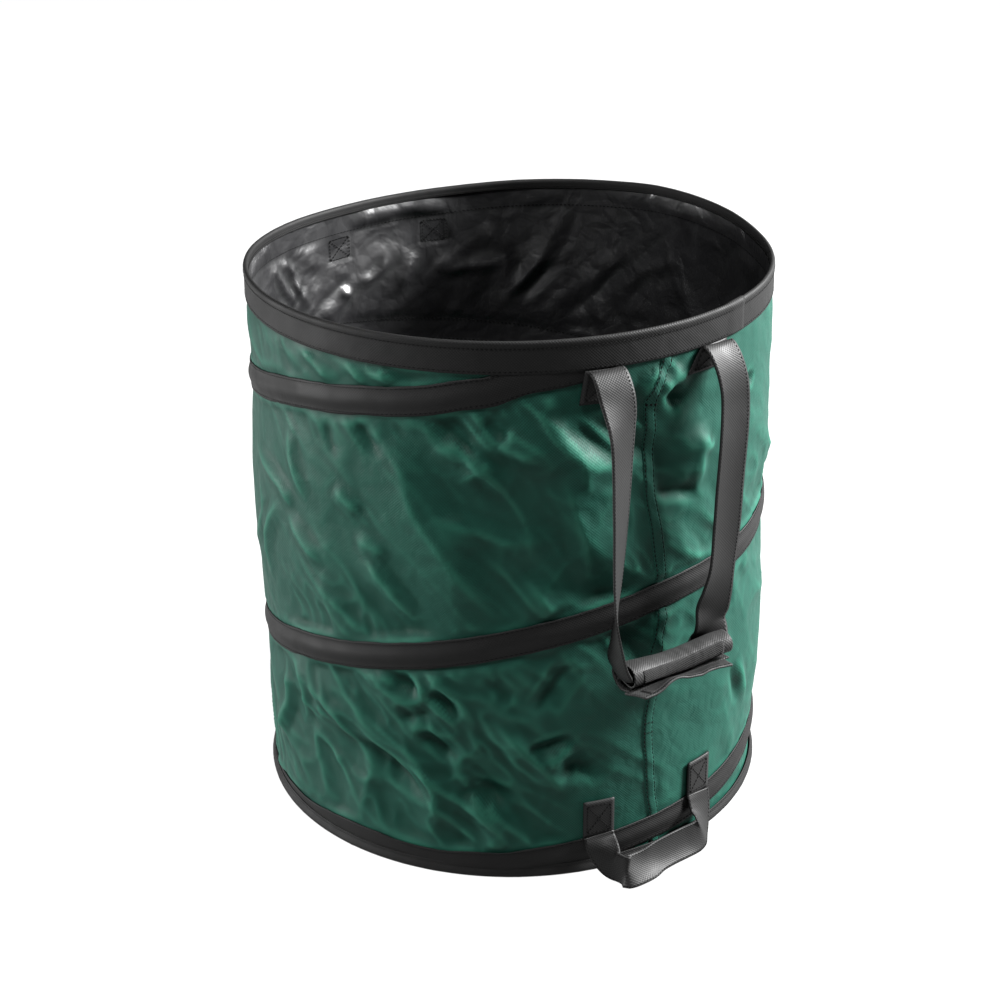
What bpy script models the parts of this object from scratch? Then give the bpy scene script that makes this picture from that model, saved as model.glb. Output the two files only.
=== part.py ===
# Pop up leaf bag: a sewn round bag that a coiled spring wire holds open, with three webbing handles.
# Metres, +Z up. The origin is the middle of the floor's underside. The long handle with the grip faces -Y.
import math

import bmesh
import bpy
from mathutils import Matrix, Vector

# Driving dimensions of the bag
bag_radius = 0.2285  # outer face of the wall
bag_height = 0.494
fabric_thickness = 0.0012
seat_gap = 0.0003  # air kept between pieces that touch
facets = 48  # flats round the bag, shared by every round piece
arc_steps = 8  # flats round a hem's bulb, an even count so that one corner lies at its crown

# Spring wire and its crimped joints
wire_diameter = 0.0025
wire_sides = 6
ferrule_length = 0.024
ferrule_wall = 0.0005
ferrule_clearance = 0.00025
ferrule_sides = 10
rim_joint_turn_share = 0.26
base_joint_turn_share = 0.74

# Tapes
tape_thickness = 0.0008
rim_tape_height = 0.027
rim_tape_inner_height = 0.0095
base_tape_height = 0.0105
base_tape_inner_height = 0.0090
helix_tape_width = 0.025
arch_clearance = 0.0005
arch_steps = 4
helix_start_share = 0.6875  # of a turn, counted from +X
helix_turns = 1.98
# how much of its whole drop the coil has made at even steps along its length
helix_drop_shares = (0.0, 0.095, 0.211, 0.309, 0.418, 0.493, 0.630, 0.749, 0.850, 0.943, 1.0)

# Floor
floor_thickness = 0.0012
floor_flange_height = 0.0045

# Webbing of the two long handles
webbing_width = 0.032
webbing_thickness = 0.0016
handle_spacing = 0.106  # middle of one leg to middle of the other
sewn_end_height = 0.029
handle_drop = 0.262  # from the flex line down to the middle of the grip
handle_stand_off = 0.0275  # how far the hanging loop stands out from its sewn ends
flex_line_clearance = 0.0008

# Grip sleeve on the front handle
grip_length = 0.119
grip_radius = 0.0104  # middle of the sleeve's cloth
grip_thickness = 0.0018
grip_spread = 0.0022  # how much further out the sleeve's last quarter runs
grip_tail = 0.0080  # how far the sleeve runs on past its lowest point
grip_end_clearance = 0.0022  # from the sleeve's end to the leg beside it
sleeve_lip_deg = -48.0  # where the sleeve's cloth starts, seen from its left end
sleeve_last_deg = 270.0
sleeve_steps = 14
folded_width = 0.0120  # of the webbing inside the sleeve
folded_thickness = 0.0048
corner_radius = 0.0090
corner_steps = 4
flap_depth = 0.0220
flap_slope_deg = 11.0
fastener_length = 0.100
fastener_depth = 0.0130
fastener_thickness = 0.0010
fastener_start_deg = -8.0
fastener_sweep_deg = 62.0
fastener_steps = 3

# Back handle's hanging loop
back_bend_radius = 0.024

# Base handle
base_webbing_width = 0.028
base_end_height = 0.034
base_end_bottom = 0.0385
base_loop_half_width = 0.046
base_loop_reach = 0.0300  # from the wall's face out to the loop's far run
base_floor_clearance = 0.0010
base_fold_height = 0.0260
first_bend_out_share = 3.0  # of the webbing's thickness, where the loop leaves its sewn ends
first_bend_down_share = 2.5
corner_cut_share = 0.25  # of the loop's reach, taken off each outer corner

# Worked out from the sizes above
wire_radius = wire_diameter / 2
wall_half = fabric_thickness / 2
wall_middle = bag_radius - wall_half
leaf_inner = wall_half + seat_gap
leaf_outer = leaf_inner + tape_thickness
ferrule_bore = wire_radius + ferrule_clearance
ferrule_radius = ferrule_bore + ferrule_wall
hem_inner = ferrule_radius + seat_gap
hem_outer = hem_inner + tape_thickness
wall_edge = hem_outer + hem_inner + seat_gap
half_turn = math.pi
facet_angle = 2 * math.pi / facets
tape_inner = bag_radius + seat_gap
tape_outer = tape_inner + tape_thickness
arch_middle = tape_inner + wire_radius
arch_inner = wire_radius + arch_clearance
arch_outer = arch_inner + tape_thickness
helix_top = bag_height - rim_tape_height - seat_gap - helix_tape_width / 2
helix_bottom = base_tape_height + seat_gap + helix_tape_width / 2
leg_angle = math.asin(handle_spacing / 2 / bag_radius)
sewn_end_top = bag_height - rim_tape_height - seat_gap
flex_line_height = sewn_end_top - flex_line_clearance
end_middle = bag_radius + seat_gap + webbing_thickness / 2
leg_top_distance = end_middle + webbing_thickness + seat_gap
flex_line_reach = (
    leg_top_distance * math.cos(leg_angle) + webbing_thickness / 2
    + webbing_width / 2 * math.sin(leg_angle)
)
base_end_middle = tape_outer + seat_gap + webbing_thickness / 2
front_turn = -half_turn / 2
back_turn = half_turn / 2


def clear_scene():
    for item in list(bpy.data.objects):
        bpy.data.objects.remove(item, do_unlink=True)


def linear(channel):
    return channel / 12.92 if channel <= 0.04045 else ((channel + 0.055) / 1.055) ** 2.4


def finish(name, colour, roughness, metallic=0.0):
    made = bpy.data.materials.new(name)
    made.use_nodes = True
    shader = made.node_tree.nodes["Principled BSDF"]
    rgb = [linear(int(colour[i : i + 2], 16) / 255) for i in (0, 2, 4)]
    shader.inputs["Base Color"].default_value = (*rgb, 1)
    shader.inputs["Roughness"].default_value = roughness
    shader.inputs["Metallic"].default_value = metallic
    made.diffuse_color = (*rgb, 1)
    return made


def piece(name, shape, colour, roughness=0.8, metallic=0.0, parent=None, smooth_deg=40.0):
    """Turns a bmesh into one named object, which keeps its place in the world under its parent."""
    bmesh.ops.recalc_face_normals(shape, faces=shape.faces)
    mesh = bpy.data.meshes.new(name)
    shape.to_mesh(mesh)
    shape.free()
    mesh.shade_smooth()
    mesh.set_sharp_from_angle(angle=math.radians(smooth_deg))
    made = bpy.data.objects.new(name, mesh)
    bpy.context.collection.objects.link(made)
    made.data.materials.append(finish(name + "_finish", colour, roughness, metallic))
    if parent:
        made.parent = parent
        made.matrix_parent_inverse = Matrix.Translation(-parent.location)
    return made


def axis_empty(name, location):
    made = bpy.data.objects.new(name, None)
    made.location = location
    bpy.context.collection.objects.link(made)
    return made


def spun(profile):
    """A full ring from a closed profile of (radius, height) points."""
    shape = bmesh.new()
    corners = [shape.verts.new((radius, 0, height)) for radius, height in profile]
    edges = [shape.edges.new((a, b)) for a, b in zip(corners, corners[1:] + corners[:1])]
    bmesh.ops.spin(
        shape, geom=corners + edges, axis=(0, 0, 1), cent=(0, 0, 0),
        angle=2 * math.pi, steps=facets, use_merge=True,
    )
    return shape


def split_sides(behind, ahead):
    """Cuts the sides between two rings along like diagonals, so that a thin bar stays as thick as it twists."""
    count = len(ahead)
    for i in range(count):
        j = (i + 1) % count
        a, b = (behind[i], ahead[j]) if 2 * i < count else (behind[j], ahead[i])
        side = next(face for face in a.link_faces if b in face.verts)
        bmesh.utils.face_split(side, a, b)


def swept(sections):
    """One closed bar through the sections, each a list of as many points in the same order."""
    shape = bmesh.new()
    first = end = shape.faces.new([shape.verts.new(point) for point in sections[0]])
    for section in sections[1:]:
        behind = list(end.verts)
        grown = bmesh.ops.extrude_face_region(shape, geom=[end])["geom"]
        if end != first:
            shape.faces.remove(end)
        end = next(item for item in grown if isinstance(item, bmesh.types.BMFace))
        for corner, point in zip(end.verts, section):
            corner.co = point
        split_sides(behind, list(end.verts))
    return shape


def box(width, depth, height):
    shape = bmesh.new()
    bmesh.ops.create_cube(shape, size=1)
    bmesh.ops.scale(shape, vec=(width, depth, height), verts=shape.verts)
    return shape


def circle_points(radius, sides, start=0.0):
    angles = [start + 2 * math.pi * i / sides for i in range(sides)]
    return [(radius * math.cos(a), radius * math.sin(a)) for a in angles]


def arc_points(radius, start, stop, steps):
    angles = [start + (stop - start) * i / steps for i in range(steps + 1)]
    return [(radius * math.cos(a), radius * math.sin(a)) for a in angles]


def around(angle, radius, height):
    return Vector((radius * math.cos(angle), radius * math.sin(angle), height))


def hem_profile(outer_leaf, inner_leaf):
    """A tape folded round a hoop: a bulb above two leaves that hold the cloth's edge between them."""
    outer_start = -math.acos(leaf_outer / hem_outer)
    inner_start = -math.acos(leaf_inner / hem_inner)
    outer_arc = arc_points(hem_outer, outer_start, half_turn - outer_start, arc_steps)
    inner_arc = arc_points(hem_inner, half_turn - inner_start, inner_start, arc_steps)
    return (
        [(leaf_outer, hem_outer - outer_leaf)] + outer_arc
        + [(-leaf_outer, hem_outer - inner_leaf), (-leaf_inner, hem_outer - inner_leaf)]
        + inner_arc + [(leaf_inner, hem_outer - outer_leaf)]
    )


def hoop(height, joint_turn_share):
    """The ring of wire, open by a hair inside its ferrule, and the ferrule's frame."""
    joint_facet = round(joint_turn_share * facets)
    middle = (joint_facet + 0.5) * facet_angle
    flat = math.cos(facet_angle / 2)
    along = Vector((-math.sin(middle), math.cos(middle), 0))
    disc = circle_points(wire_radius, wire_sides)

    def at_joint(side):
        return [
            around(middle, (wall_middle + x) * flat, height + z) + along * side * seat_gap / 2
            for x, z in disc
        ]

    sections = [at_joint(1)]
    for step in range(1, facets + 1):
        angle = (joint_facet + step) * facet_angle
        sections.append([around(angle, wall_middle + x, height + z) for x, z in disc])
    sections.append(at_joint(-1))
    return swept(sections), middle, around(middle, wall_middle * flat, height)


def ferrule(name, middle, place):
    bore = ferrule_bore / math.cos(half_turn / ferrule_sides)
    outer = ferrule_radius
    half = ferrule_length / 2
    shape = bmesh.new()
    profile = [(-half, bore), (half, bore), (half, outer), (-half, outer)]
    corners = [shape.verts.new((x, radius, 0)) for x, radius in profile]
    edges = [shape.edges.new((a, b)) for a, b in zip(corners, corners[1:] + corners[:1])]
    bmesh.ops.spin(
        shape, geom=corners + edges, axis=(1, 0, 0), cent=(0, 0, 0),
        angle=2 * math.pi, steps=ferrule_sides, use_merge=True,
    )
    made = piece(name, shape, "8b8f92", 0.35, 1.0)
    made.location = place
    made.rotation_euler = (0, 0, middle + half_turn / 2)
    return made


def smooth_share(table, share):
    """Reads an even table with a smooth curve through its values."""
    place = min(max(share, 0.0), 1.0) * (len(table) - 1)
    i = min(int(place), len(table) - 2)
    t = place - i
    before = table[i - 1] if i else 2 * table[0] - table[1]
    after = table[i + 2] if i + 2 < len(table) else 2 * table[-1] - table[-2]
    a, b = table[i], table[i + 1]
    rise = (b - before) / 2
    fall = (after - a) / 2
    return a + rise * t + (3 * (b - a) - 2 * rise - fall) * t**2 + (2 * (a - b) + rise + fall) * t**3


def helix_stations():
    """(angle, height) at every flat's edge that the coil crosses, from the rim down to the base."""
    first = round(helix_start_share * facets)
    count = round(helix_turns * facets)
    for step in range(count + 1):
        share = smooth_share(helix_drop_shares, step / count)
        yield (first - step) * facet_angle, helix_top + (helix_bottom - helix_top) * share


def helix_tape_profile():
    """Flat on the wall at both edges, arched over the wire along the middle: (radius, height) points."""
    half = helix_tape_width / 2
    outer_sweep = math.acos((tape_outer - arch_middle) / arch_outer)
    inner_sweep = math.acos((tape_inner - arch_middle) / arch_inner)
    outer_arc = arc_points(arch_outer, -outer_sweep, outer_sweep, arch_steps)
    inner_arc = arc_points(arch_inner, inner_sweep, -inner_sweep, arch_steps)
    return (
        [(tape_outer, -half)]
        + [(arch_middle + x, z) for x, z in outer_arc]
        + [(tape_outer, half), (tape_inner, half)]
        + [(arch_middle + x, z) for x, z in inner_arc] + [(tape_inner, -half)]
    )


def ribbon(stations):
    """A strap through (middle, width direction, width, thickness) stations."""
    middles = [Vector(station[0]) for station in stations]
    sections = []
    for i, (middle, across, width, thickness) in enumerate(stations):
        ahead = middles[min(i + 1, len(middles) - 1)] - middles[max(i - 1, 0)]
        side = Vector(across).normalized()
        out = ahead.cross(side).normalized()
        reach = side * width / 2
        lift = out * thickness / 2
        middle = Vector(middle)
        sections.append([
            middle - reach - lift, middle + reach - lift, middle + reach + lift, middle - reach + lift,
        ])
    return swept(sections)


def railed(rails, thickness):
    """A strap between pairs of edge points, rounded by smooth curves through them."""
    stations = []
    for one, other in rails:
        one, other = Vector(one), Vector(other)
        stations.append(((one + other) / 2, other - one, (other - one).length, thickness))
    return ribbon(stations)


def sewn_end(name, turn, side, distance, width, low, high, colour):
    """A strap's flat end, sewn on the wall beside the middle of its handle."""
    angle = turn + side * leg_angle
    made = piece(name, box(webbing_thickness, width, high - low), colour, 0.75)
    made.location = around(angle, distance, (low + high) / 2)
    made.rotation_euler = (0, 0, angle)
    return made


def make_base():
    made_floor = bmesh.new()
    radius = wall_middle - hem_outer - seat_gap
    bmesh.ops.create_cone(
        made_floor, cap_ends=True, segments=facets, radius1=radius, radius2=radius,
        depth=floor_flange_height,
    )
    bmesh.ops.translate(made_floor, vec=(0, 0, floor_flange_height / 2), verts=made_floor.verts)
    lid = max(made_floor.faces, key=lambda face: face.calc_center_median().z)
    bmesh.ops.inset_region(made_floor, faces=[lid], thickness=floor_thickness)
    bmesh.ops.translate(made_floor, vec=(0, 0, floor_thickness - floor_flange_height), verts=lid.verts)
    piece("floor_panel", made_floor, "1c1d1f", 0.45)

    hem = hem_profile(base_tape_height, base_tape_inner_height)
    piece("base_binding", spun([(wall_middle + x, hem_outer - z) for x, z in hem]), "343436", 0.8)
    wire, middle, place = hoop(hem_outer, base_joint_turn_share)
    piece("base_ring_wire", wire, "7d8184", 0.35, 1.0)
    ferrule("base_ring_ferrule", middle, place)


def make_wall():
    low, high = wall_edge, bag_height - wall_edge
    inner = bag_radius - fabric_thickness
    profile = [(bag_radius, low), (bag_radius, high), (inner, high), (inner, low)]
    piece("wall", spun(profile), "2f6352", 0.7)

    stations = list(helix_stations())
    tape = helix_tape_profile()
    sections = [[around(angle, radius, height + z) for radius, z in tape] for angle, height in stations]
    piece("coil_casing", swept(sections), "343436", 0.8)
    disc = circle_points(wire_radius, wire_sides)
    sections = [
        [around(angle, arch_middle + x, height + z) for x, z in disc] for angle, height in stations
    ]
    piece("coil_spring_wire", swept(sections), "7d8184", 0.35, 1.0)


def make_rim():
    hem = hem_profile(rim_tape_height, rim_tape_inner_height)
    middle_height = bag_height - hem_outer
    piece("rim_binding", spun([(wall_middle + x, middle_height + z) for x, z in hem]), "343436", 0.8)
    wire, middle, place = hoop(middle_height, rim_joint_turn_share)
    piece("rim_ring_wire", wire, "7d8184", 0.35, 1.0)
    ferrule("rim_ring_ferrule", middle, place)
    for handle, turn in (("front", front_turn), ("back", back_turn)):
        for word, side in (("left", -1), ("right", 1)):
            sewn_end(
                f"{handle}_handle_end_{word}", turn, side if handle == "front" else -side, end_middle,
                webbing_width, sewn_end_top - sewn_end_height, sewn_end_top, "303032",
            )


def leg_top(side, facing):
    """Middle and width direction of a leg where it leaves the flex line."""
    away = leg_angle * side
    middle = Vector((leg_top_distance * math.sin(away), facing * leg_top_distance * math.cos(away), 0))
    across = Vector((math.cos(away), -facing * math.sin(away), 0))
    return middle, across


# Each leg's way down: (share of the drop, share of the stand-off, share of the way out to the grip's
# end, share of a quarter turn of twist), measured from the sewn end
front_left_shares = (
    (0.00, 0.00, 0.00, -0.15), (0.03, 0.04, 0.00, -0.13), (0.08, 0.28, 0.00, -0.07),
    (0.15, 0.56, 0.05, 0.02), (0.25, 0.82, 0.10, 0.12), (0.38, 0.95, 0.25, 0.22),
    (0.52, 1.00, 0.40, 0.34), (0.66, 1.00, 0.60, 0.52), (0.80, 1.00, 0.85, 0.72), (0.90, 1.00, 1.00, 0.90),
)
front_right_shares = (
    (0.00, 0.00, 0.00, -0.15), (0.03, 0.04, 0.00, -0.13), (0.08, 0.28, 0.10, -0.09),
    (0.15, 0.56, 0.30, -0.06), (0.25, 0.82, 0.45, -0.04), (0.38, 0.95, 0.45, -0.03),
    (0.52, 1.00, 0.40, 0.02), (0.66, 1.00, 0.45, 0.15), (0.80, 1.00, 0.75, 0.45), (0.90, 1.00, 1.00, 0.80),
)
back_leg_shares = (
    (0.00, 0.00, 0.00, -0.15), (0.03, 0.04, 0.00, -0.13), (0.08, 0.28, 0.00, -0.05),
    (0.15, 0.56, 0.00, 0.05), (0.25, 0.82, 0.00, 0.18), (0.38, 0.95, 0.00, 0.34),
    (0.52, 1.00, 0.00, 0.52), (0.66, 1.00, 0.00, 0.72), (0.80, 1.00, 0.00, 0.90),
)


def leg_stations(side, facing, shares, drop, end_reach):
    """One leg from its flex line down, as ribbon stations. side is -1 or 1 along X, facing along Y."""
    top, _ = leg_top(side, facing)
    stations = []
    for down, out, spread, twist in shares:
        reach = abs(top.x) + (end_reach - abs(top.x)) * spread
        turn = leg_angle if down == 0 else -twist * half_turn / 2
        middle = Vector((
            side * reach, top.y + facing * out * handle_stand_off, flex_line_height - down * drop,
        ))
        across = Vector((math.cos(turn), -facing * side * math.sin(turn), 0))
        stations.append((middle, across, webbing_width, webbing_thickness))
    return stations


def crossed(stations):
    """The same leg walked upwards, with its width direction turned about."""
    return [(middle, -across, width, thickness) for middle, across, width, thickness in reversed(stations)]


def make_front_handle():
    top, _ = leg_top(1, -1)
    hinge = axis_empty("front_handle_axis", Vector((0, -flex_line_reach, flex_line_height)))
    grip_y = top.y - handle_stand_off
    grip_z = flex_line_height - handle_drop
    entry = grip_length / 2 + grip_end_clearance
    leg_x = entry + webbing_thickness / 2

    left = leg_stations(-1, -1, front_left_shares, handle_drop, leg_x)
    right = leg_stations(1, -1, front_right_shares, handle_drop, leg_x)
    width_in = Vector((0, 1, 0))
    corner = []
    for step in range(corner_steps + 1):
        angle = half_turn / 2 * step / corner_steps
        corner.append((
            Vector((
                leg_x - corner_radius * (1 - math.cos(angle)), grip_y,
                grip_z + corner_radius * (1 - math.sin(angle)),
            )),
            width_in, folded_width, folded_thickness,
        ))
    mirrored = [(Vector((-m.x, m.y, m.z)), w, width, thick) for m, w, width, thick in corner]
    route = left + mirrored + list(reversed(corner)) + crossed(right)
    piece("front_handle_strap", ribbon(route), "363638", 0.75, parent=hinge)

    place = Vector((0, grip_y, grip_z))
    make_grip(place, hinge)
    return hinge


def extruded(outline, length, place):
    """A bar along X from an outline of (outward, up) points about a place on the front handle."""
    half = Vector((length / 2, 0, 0))
    points = [place + Vector((0, -outward, up)) for outward, up in outline]
    return swept([[point - half for point in points], [point + half for point in points]])


def sheet_outline(middle_line, thickness):
    """A closed outline round an open line of points, a thickness wide."""
    one, other = [], []
    for i, point in enumerate(middle_line):
        ahead = Vector(middle_line[min(i + 1, len(middle_line) - 1)])
        behind = Vector(middle_line[max(i - 1, 0)])
        along = (ahead - behind).normalized()
        normal = Vector((-along.y, along.x)) * thickness / 2
        one.append(tuple(Vector(point) + normal))
        other.append(tuple(Vector(point) - normal))
    return one + other[::-1]


def make_grip(place, hinge):
    # the sleeve starts at its front lip, runs over the webbing, down its back and out again underneath
    lip, last = math.radians(sleeve_lip_deg), math.radians(sleeve_last_deg)
    line = []
    for step in range(sleeve_steps + 1):
        angle = lip + (last - lip) * step / sleeve_steps
        late = max(0.0, (angle - half_turn) / (last - half_turn))
        radius = grip_radius + grip_spread * late
        line.append((radius * math.cos(angle), radius * math.sin(angle)))
    low = -(grip_radius + grip_spread)
    line.append((grip_tail, low))
    sleeve = extruded(sheet_outline(line, grip_thickness), grip_length, place)
    piece("grip_sleeve", sleeve, "3a3a3c", 0.7, parent=hinge)

    # the loose flap carries on from the sleeve's tail
    flap_axis = Vector((0, place.y - grip_tail - seat_gap - grip_thickness / 2, place.z + low))
    flap_hinge = axis_empty("grip_flap_axis", flap_axis)
    slope = math.radians(flap_slope_deg)
    along = Vector((math.cos(slope), -math.sin(slope)))
    start = along * (seat_gap - grip_thickness / 2)
    flap_line = [tuple(start), tuple(start + along * flap_depth)]
    piece(
        "grip_flap", extruded(sheet_outline(flap_line, grip_thickness), grip_length, flap_axis),
        "3a3a3c", 0.7, parent=flap_hinge,
    )
    above = Vector((math.sin(slope), math.cos(slope)))
    rise = above * (grip_thickness / 2 + seat_gap + fastener_thickness / 2)
    far = start + along * (flap_depth - seat_gap) + rise
    hooks = [tuple(far - along * fastener_depth), tuple(far)]
    piece(
        "hook_tape", extruded(sheet_outline(hooks, fastener_thickness), fastener_length, flap_axis),
        "232325", 0.95, parent=flap_hinge,
    )
    loop_radius = grip_radius + grip_thickness / 2 + seat_gap + fastener_thickness / 2
    start_angle = math.radians(fastener_start_deg)
    stop_angle = start_angle + math.radians(fastener_sweep_deg)
    loops = arc_points(loop_radius, start_angle, stop_angle, fastener_steps)
    piece(
        "loop_tape", extruded(sheet_outline(loops, fastener_thickness), fastener_length, place),
        "29292b", 0.95, parent=hinge,
    )


def make_back_handle():
    top, _ = leg_top(1, 1)
    hinge = axis_empty("back_handle_axis", Vector((0, flex_line_reach, flex_line_height)))
    loop_y = top.y + handle_stand_off
    leg_x = abs(top.x)
    low = flex_line_height - handle_drop
    left = leg_stations(-1, 1, back_leg_shares, handle_drop, leg_x)
    right = leg_stations(1, 1, back_leg_shares, handle_drop, leg_x)
    width_in = Vector((0, -1, 0))
    bend = []
    for step in range(corner_steps + 1):
        angle = half_turn / 2 * step / corner_steps
        bend.append((
            Vector((
                leg_x - back_bend_radius * (1 - math.cos(angle)), loop_y,
                low + back_bend_radius * (1 - math.sin(angle)),
            )),
            width_in, webbing_width, webbing_thickness,
        ))
    mirrored = [(Vector((-m.x, m.y, m.z)), w, width, thick) for m, w, width, thick in bend]
    route = left + mirrored + list(reversed(bend)) + crossed(right)
    piece("back_handle_strap", ribbon(route), "363638", 0.75, parent=hinge)


def make_base_handle():
    for word, side in (("left", -1), ("right", 1)):
        sewn_end(
            f"base_handle_end_{word}", front_turn, side, base_end_middle, base_webbing_width,
            base_end_bottom, base_end_bottom + base_end_height, "303032",
        )
    tip = base_end_bottom - seat_gap
    away = leg_angle
    middle = Vector((base_end_middle * math.sin(away), -base_end_middle * math.cos(away), tip))
    across = Vector((math.cos(away), math.sin(away), 0)) * base_webbing_width / 2
    low = base_floor_clearance
    reach = bag_radius + base_loop_reach
    near = bag_radius + wire_diameter
    half = base_loop_half_width
    # pairs of edge points for the right half: the outer edge turns down to the floor, the inner edge up
    floor_edge = Vector((middle.x + webbing_thickness, -near, low))
    fold_edge = Vector((half + webbing_thickness, -(near + reach) / 2, base_fold_height))
    cut = base_loop_reach * corner_cut_share
    high = low + base_webbing_width
    corner_low = Vector((half, -reach + cut, low))
    corner_high = Vector((half + webbing_thickness, -reach + cut + webbing_thickness, high))
    run_low = Vector((half - cut, -reach, low))
    run_high = Vector((half - cut, -reach, high))
    outer, inner = middle + across, middle - across
    down = Vector((0, 0, -webbing_thickness / 2))
    out = Vector((0, -first_bend_out_share, -first_bend_down_share)) * webbing_thickness
    right = [
        (inner, outer), (inner + down, outer + down), (inner + out, outer + out), (fold_edge, floor_edge),
        (corner_high, corner_low), (run_high, run_low),
    ]
    left = [tuple(Vector((-point.x, point.y, point.z)) for point in pair) for pair in right]
    flex_line = Vector((0, inner.y - webbing_thickness / 2, tip))
    hinge = axis_empty("base_handle_axis", flex_line)
    piece("base_handle_strap", railed(left + right[::-1], webbing_thickness), "363638", 0.75, parent=hinge)


def make_bag():
    clear_scene()
    make_base()
    make_wall()
    make_rim()
    make_front_handle()
    make_back_handle()
    make_base_handle()


make_bag()
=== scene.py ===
import functools
import math
import random

import bmesh
import bpy
from mathutils import Matrix, Vector, noise
from mathutils.bvhtree import BVHTree


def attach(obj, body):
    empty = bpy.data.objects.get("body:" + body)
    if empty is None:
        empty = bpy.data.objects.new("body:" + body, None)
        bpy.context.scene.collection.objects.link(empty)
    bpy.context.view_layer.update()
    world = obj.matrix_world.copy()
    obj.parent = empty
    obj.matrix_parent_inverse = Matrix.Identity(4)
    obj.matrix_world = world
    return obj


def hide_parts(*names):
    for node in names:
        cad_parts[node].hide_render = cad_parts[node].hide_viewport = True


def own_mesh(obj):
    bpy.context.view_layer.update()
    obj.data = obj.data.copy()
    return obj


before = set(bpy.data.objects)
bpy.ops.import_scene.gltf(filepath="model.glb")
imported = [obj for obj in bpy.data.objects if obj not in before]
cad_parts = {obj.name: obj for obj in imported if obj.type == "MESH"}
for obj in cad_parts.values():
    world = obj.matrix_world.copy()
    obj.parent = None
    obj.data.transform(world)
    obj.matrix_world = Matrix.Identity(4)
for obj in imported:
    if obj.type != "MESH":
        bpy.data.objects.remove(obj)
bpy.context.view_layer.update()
print("frame loaded")

mm = 0.001
chance = random.Random(7)

# the camera stands where the photo was taken, 1.8 m away and a little above the rim
camera = {
    "turn": -31.8,
    "height": 24.92,
    "roll": -0.0104,
    "distance": 1.787,
    "sideways": -0.0098,
    "targetHeight": 0.2545,
    "lens": 69.75,
    "sensor": 36.0,
    "picture": 1000,
}

# every turn is in degrees from the camera's right, so -90 faces the camera
bag = {
    "radius": 227.9 * mm,  # middle of the wall's cloth
    "height": 494 * mm,
    "cloth": 1.0 * mm,
    "seamTurn": -60.2,
    "frontTurn": -58.2,
    "backTurn": 121.8,
}
girth = 2 * math.pi * bag["radius"]


def clamp(value, low=0.0, high=1.0):
    return max(low, min(high, value))


def ease(value):
    value = clamp(value)
    return value * value * (3 - 2 * value)


def fade(value, span):  # 0 up to the span's start, 1 from its start plus its length
    return ease((value - span[0]) / span[1])


def smoothThrough(knots, x):
    if x <= knots[0][0]:
        return knots[0][1]
    if x >= knots[-1][0]:
        return knots[-1][1]
    k = next(i for i in range(len(knots) - 1) if x < knots[i + 1][0])
    (xa, a), (xb, b) = knots[k], knots[k + 1]
    before, after = knots[max(k - 1, 0)], knots[min(k + 2, len(knots) - 1)]
    slopeA = (b - before[1]) * ((xb - xa) / (xb - before[0]))
    slopeB = (after[1] - a) * ((xb - xa) / (after[0] - xa))
    t = (x - xa) / (xb - xa)
    return (
        a * (2 * t**3 - 3 * t**2 + 1) + slopeA * (t**3 - 2 * t**2 + t)
        + b * (3 * t**2 - 2 * t**3) + slopeB * (t**3 - t**2)
    )


def wrapTurn(turn, start=-180.0):
    return (turn - start) % 360 + start


def around(turn, radius, height):
    angle = math.radians(turn + camera["turn"])
    return Vector((radius * math.cos(angle), radius * math.sin(angle), height))


def turnOf(point):
    return math.degrees(math.atan2(point.y, point.x)) - camera["turn"]


def wayOut(point):  # the way out from the bag's axis
    return Vector((point.x, point.y, 0)).normalized()


def standCamera():
    tilt = math.radians(camera["height"])
    turn = Matrix.Rotation(math.radians(camera["turn"]), 3, "Z")
    back = turn @ Vector((0, -math.cos(tilt), math.sin(tilt)))
    level = turn @ Vector((1, 0, 0))
    upright = level.cross(-back)
    roll = camera["roll"]
    right = level * math.cos(roll) + upright * math.sin(roll)
    up = upright * math.cos(roll) - level * math.sin(roll)
    place = turn @ Vector((camera["sideways"], 0, camera["targetHeight"])) + back * camera["distance"]
    lens = bpy.data.cameras.new("camera")
    lens.lens = camera["lens"]
    lens.sensor_width = camera["sensor"]
    stand = bpy.data.objects.new("camera", lens)
    stand.matrix_world = Matrix.Translation(place) @ Matrix((right, up, back)).transposed().to_4x4()
    bpy.context.scene.collection.objects.link(stand)
    bpy.context.scene.camera = stand
    return place, right, up, -back


eye, eyeRight, eyeUp, eyeAhead = standCamera()


def wallSpot(pixel, inside=False):  # where a pixel of the photo meets the wall, as turn and height
    focal = camera["lens"] / camera["sensor"] * camera["picture"]
    middle = camera["picture"] / 2
    ray = eyeAhead + eyeRight * ((pixel[0] - middle) / focal) - eyeUp * ((pixel[1] - middle) / focal)
    a = ray.x**2 + ray.y**2
    b = eye.x * ray.x + eye.y * ray.y
    c = eye.x**2 + eye.y**2 - bag["radius"] ** 2
    root = math.sqrt(max(b * b - a * c, 0.0))
    spot = eye + ray * ((-b + root if inside else -b - root) / a)
    return turnOf(spot), spot.z


studio = {
    "world": 0.05,
    "floorSize": 24.0,
    # the floor is a light table: it glows, so that the bag throws only a faint shadow
    "paper": ("#3b3b3b", "#3e3e3e"),
    "glow": 0.95,
    # turn, height angle, distance, size, power
    "key": (10, 33, 3.0, 1.0, 1080),
    "left": (178, 2, 3.0, 0.5, 205),
    "front": (-128, 58, 3.0, 0.9, 135),
}


def hexColour(code):  # sRGB hex to linear
    parts = [int(code[i : i + 2], 16) / 255 for i in (1, 3, 5)]
    linear = [p / 12.92 if p <= 0.04045 else ((p + 0.055) / 1.055) ** 2.4 for p in parts]
    return (*linear, 1.0)


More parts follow.
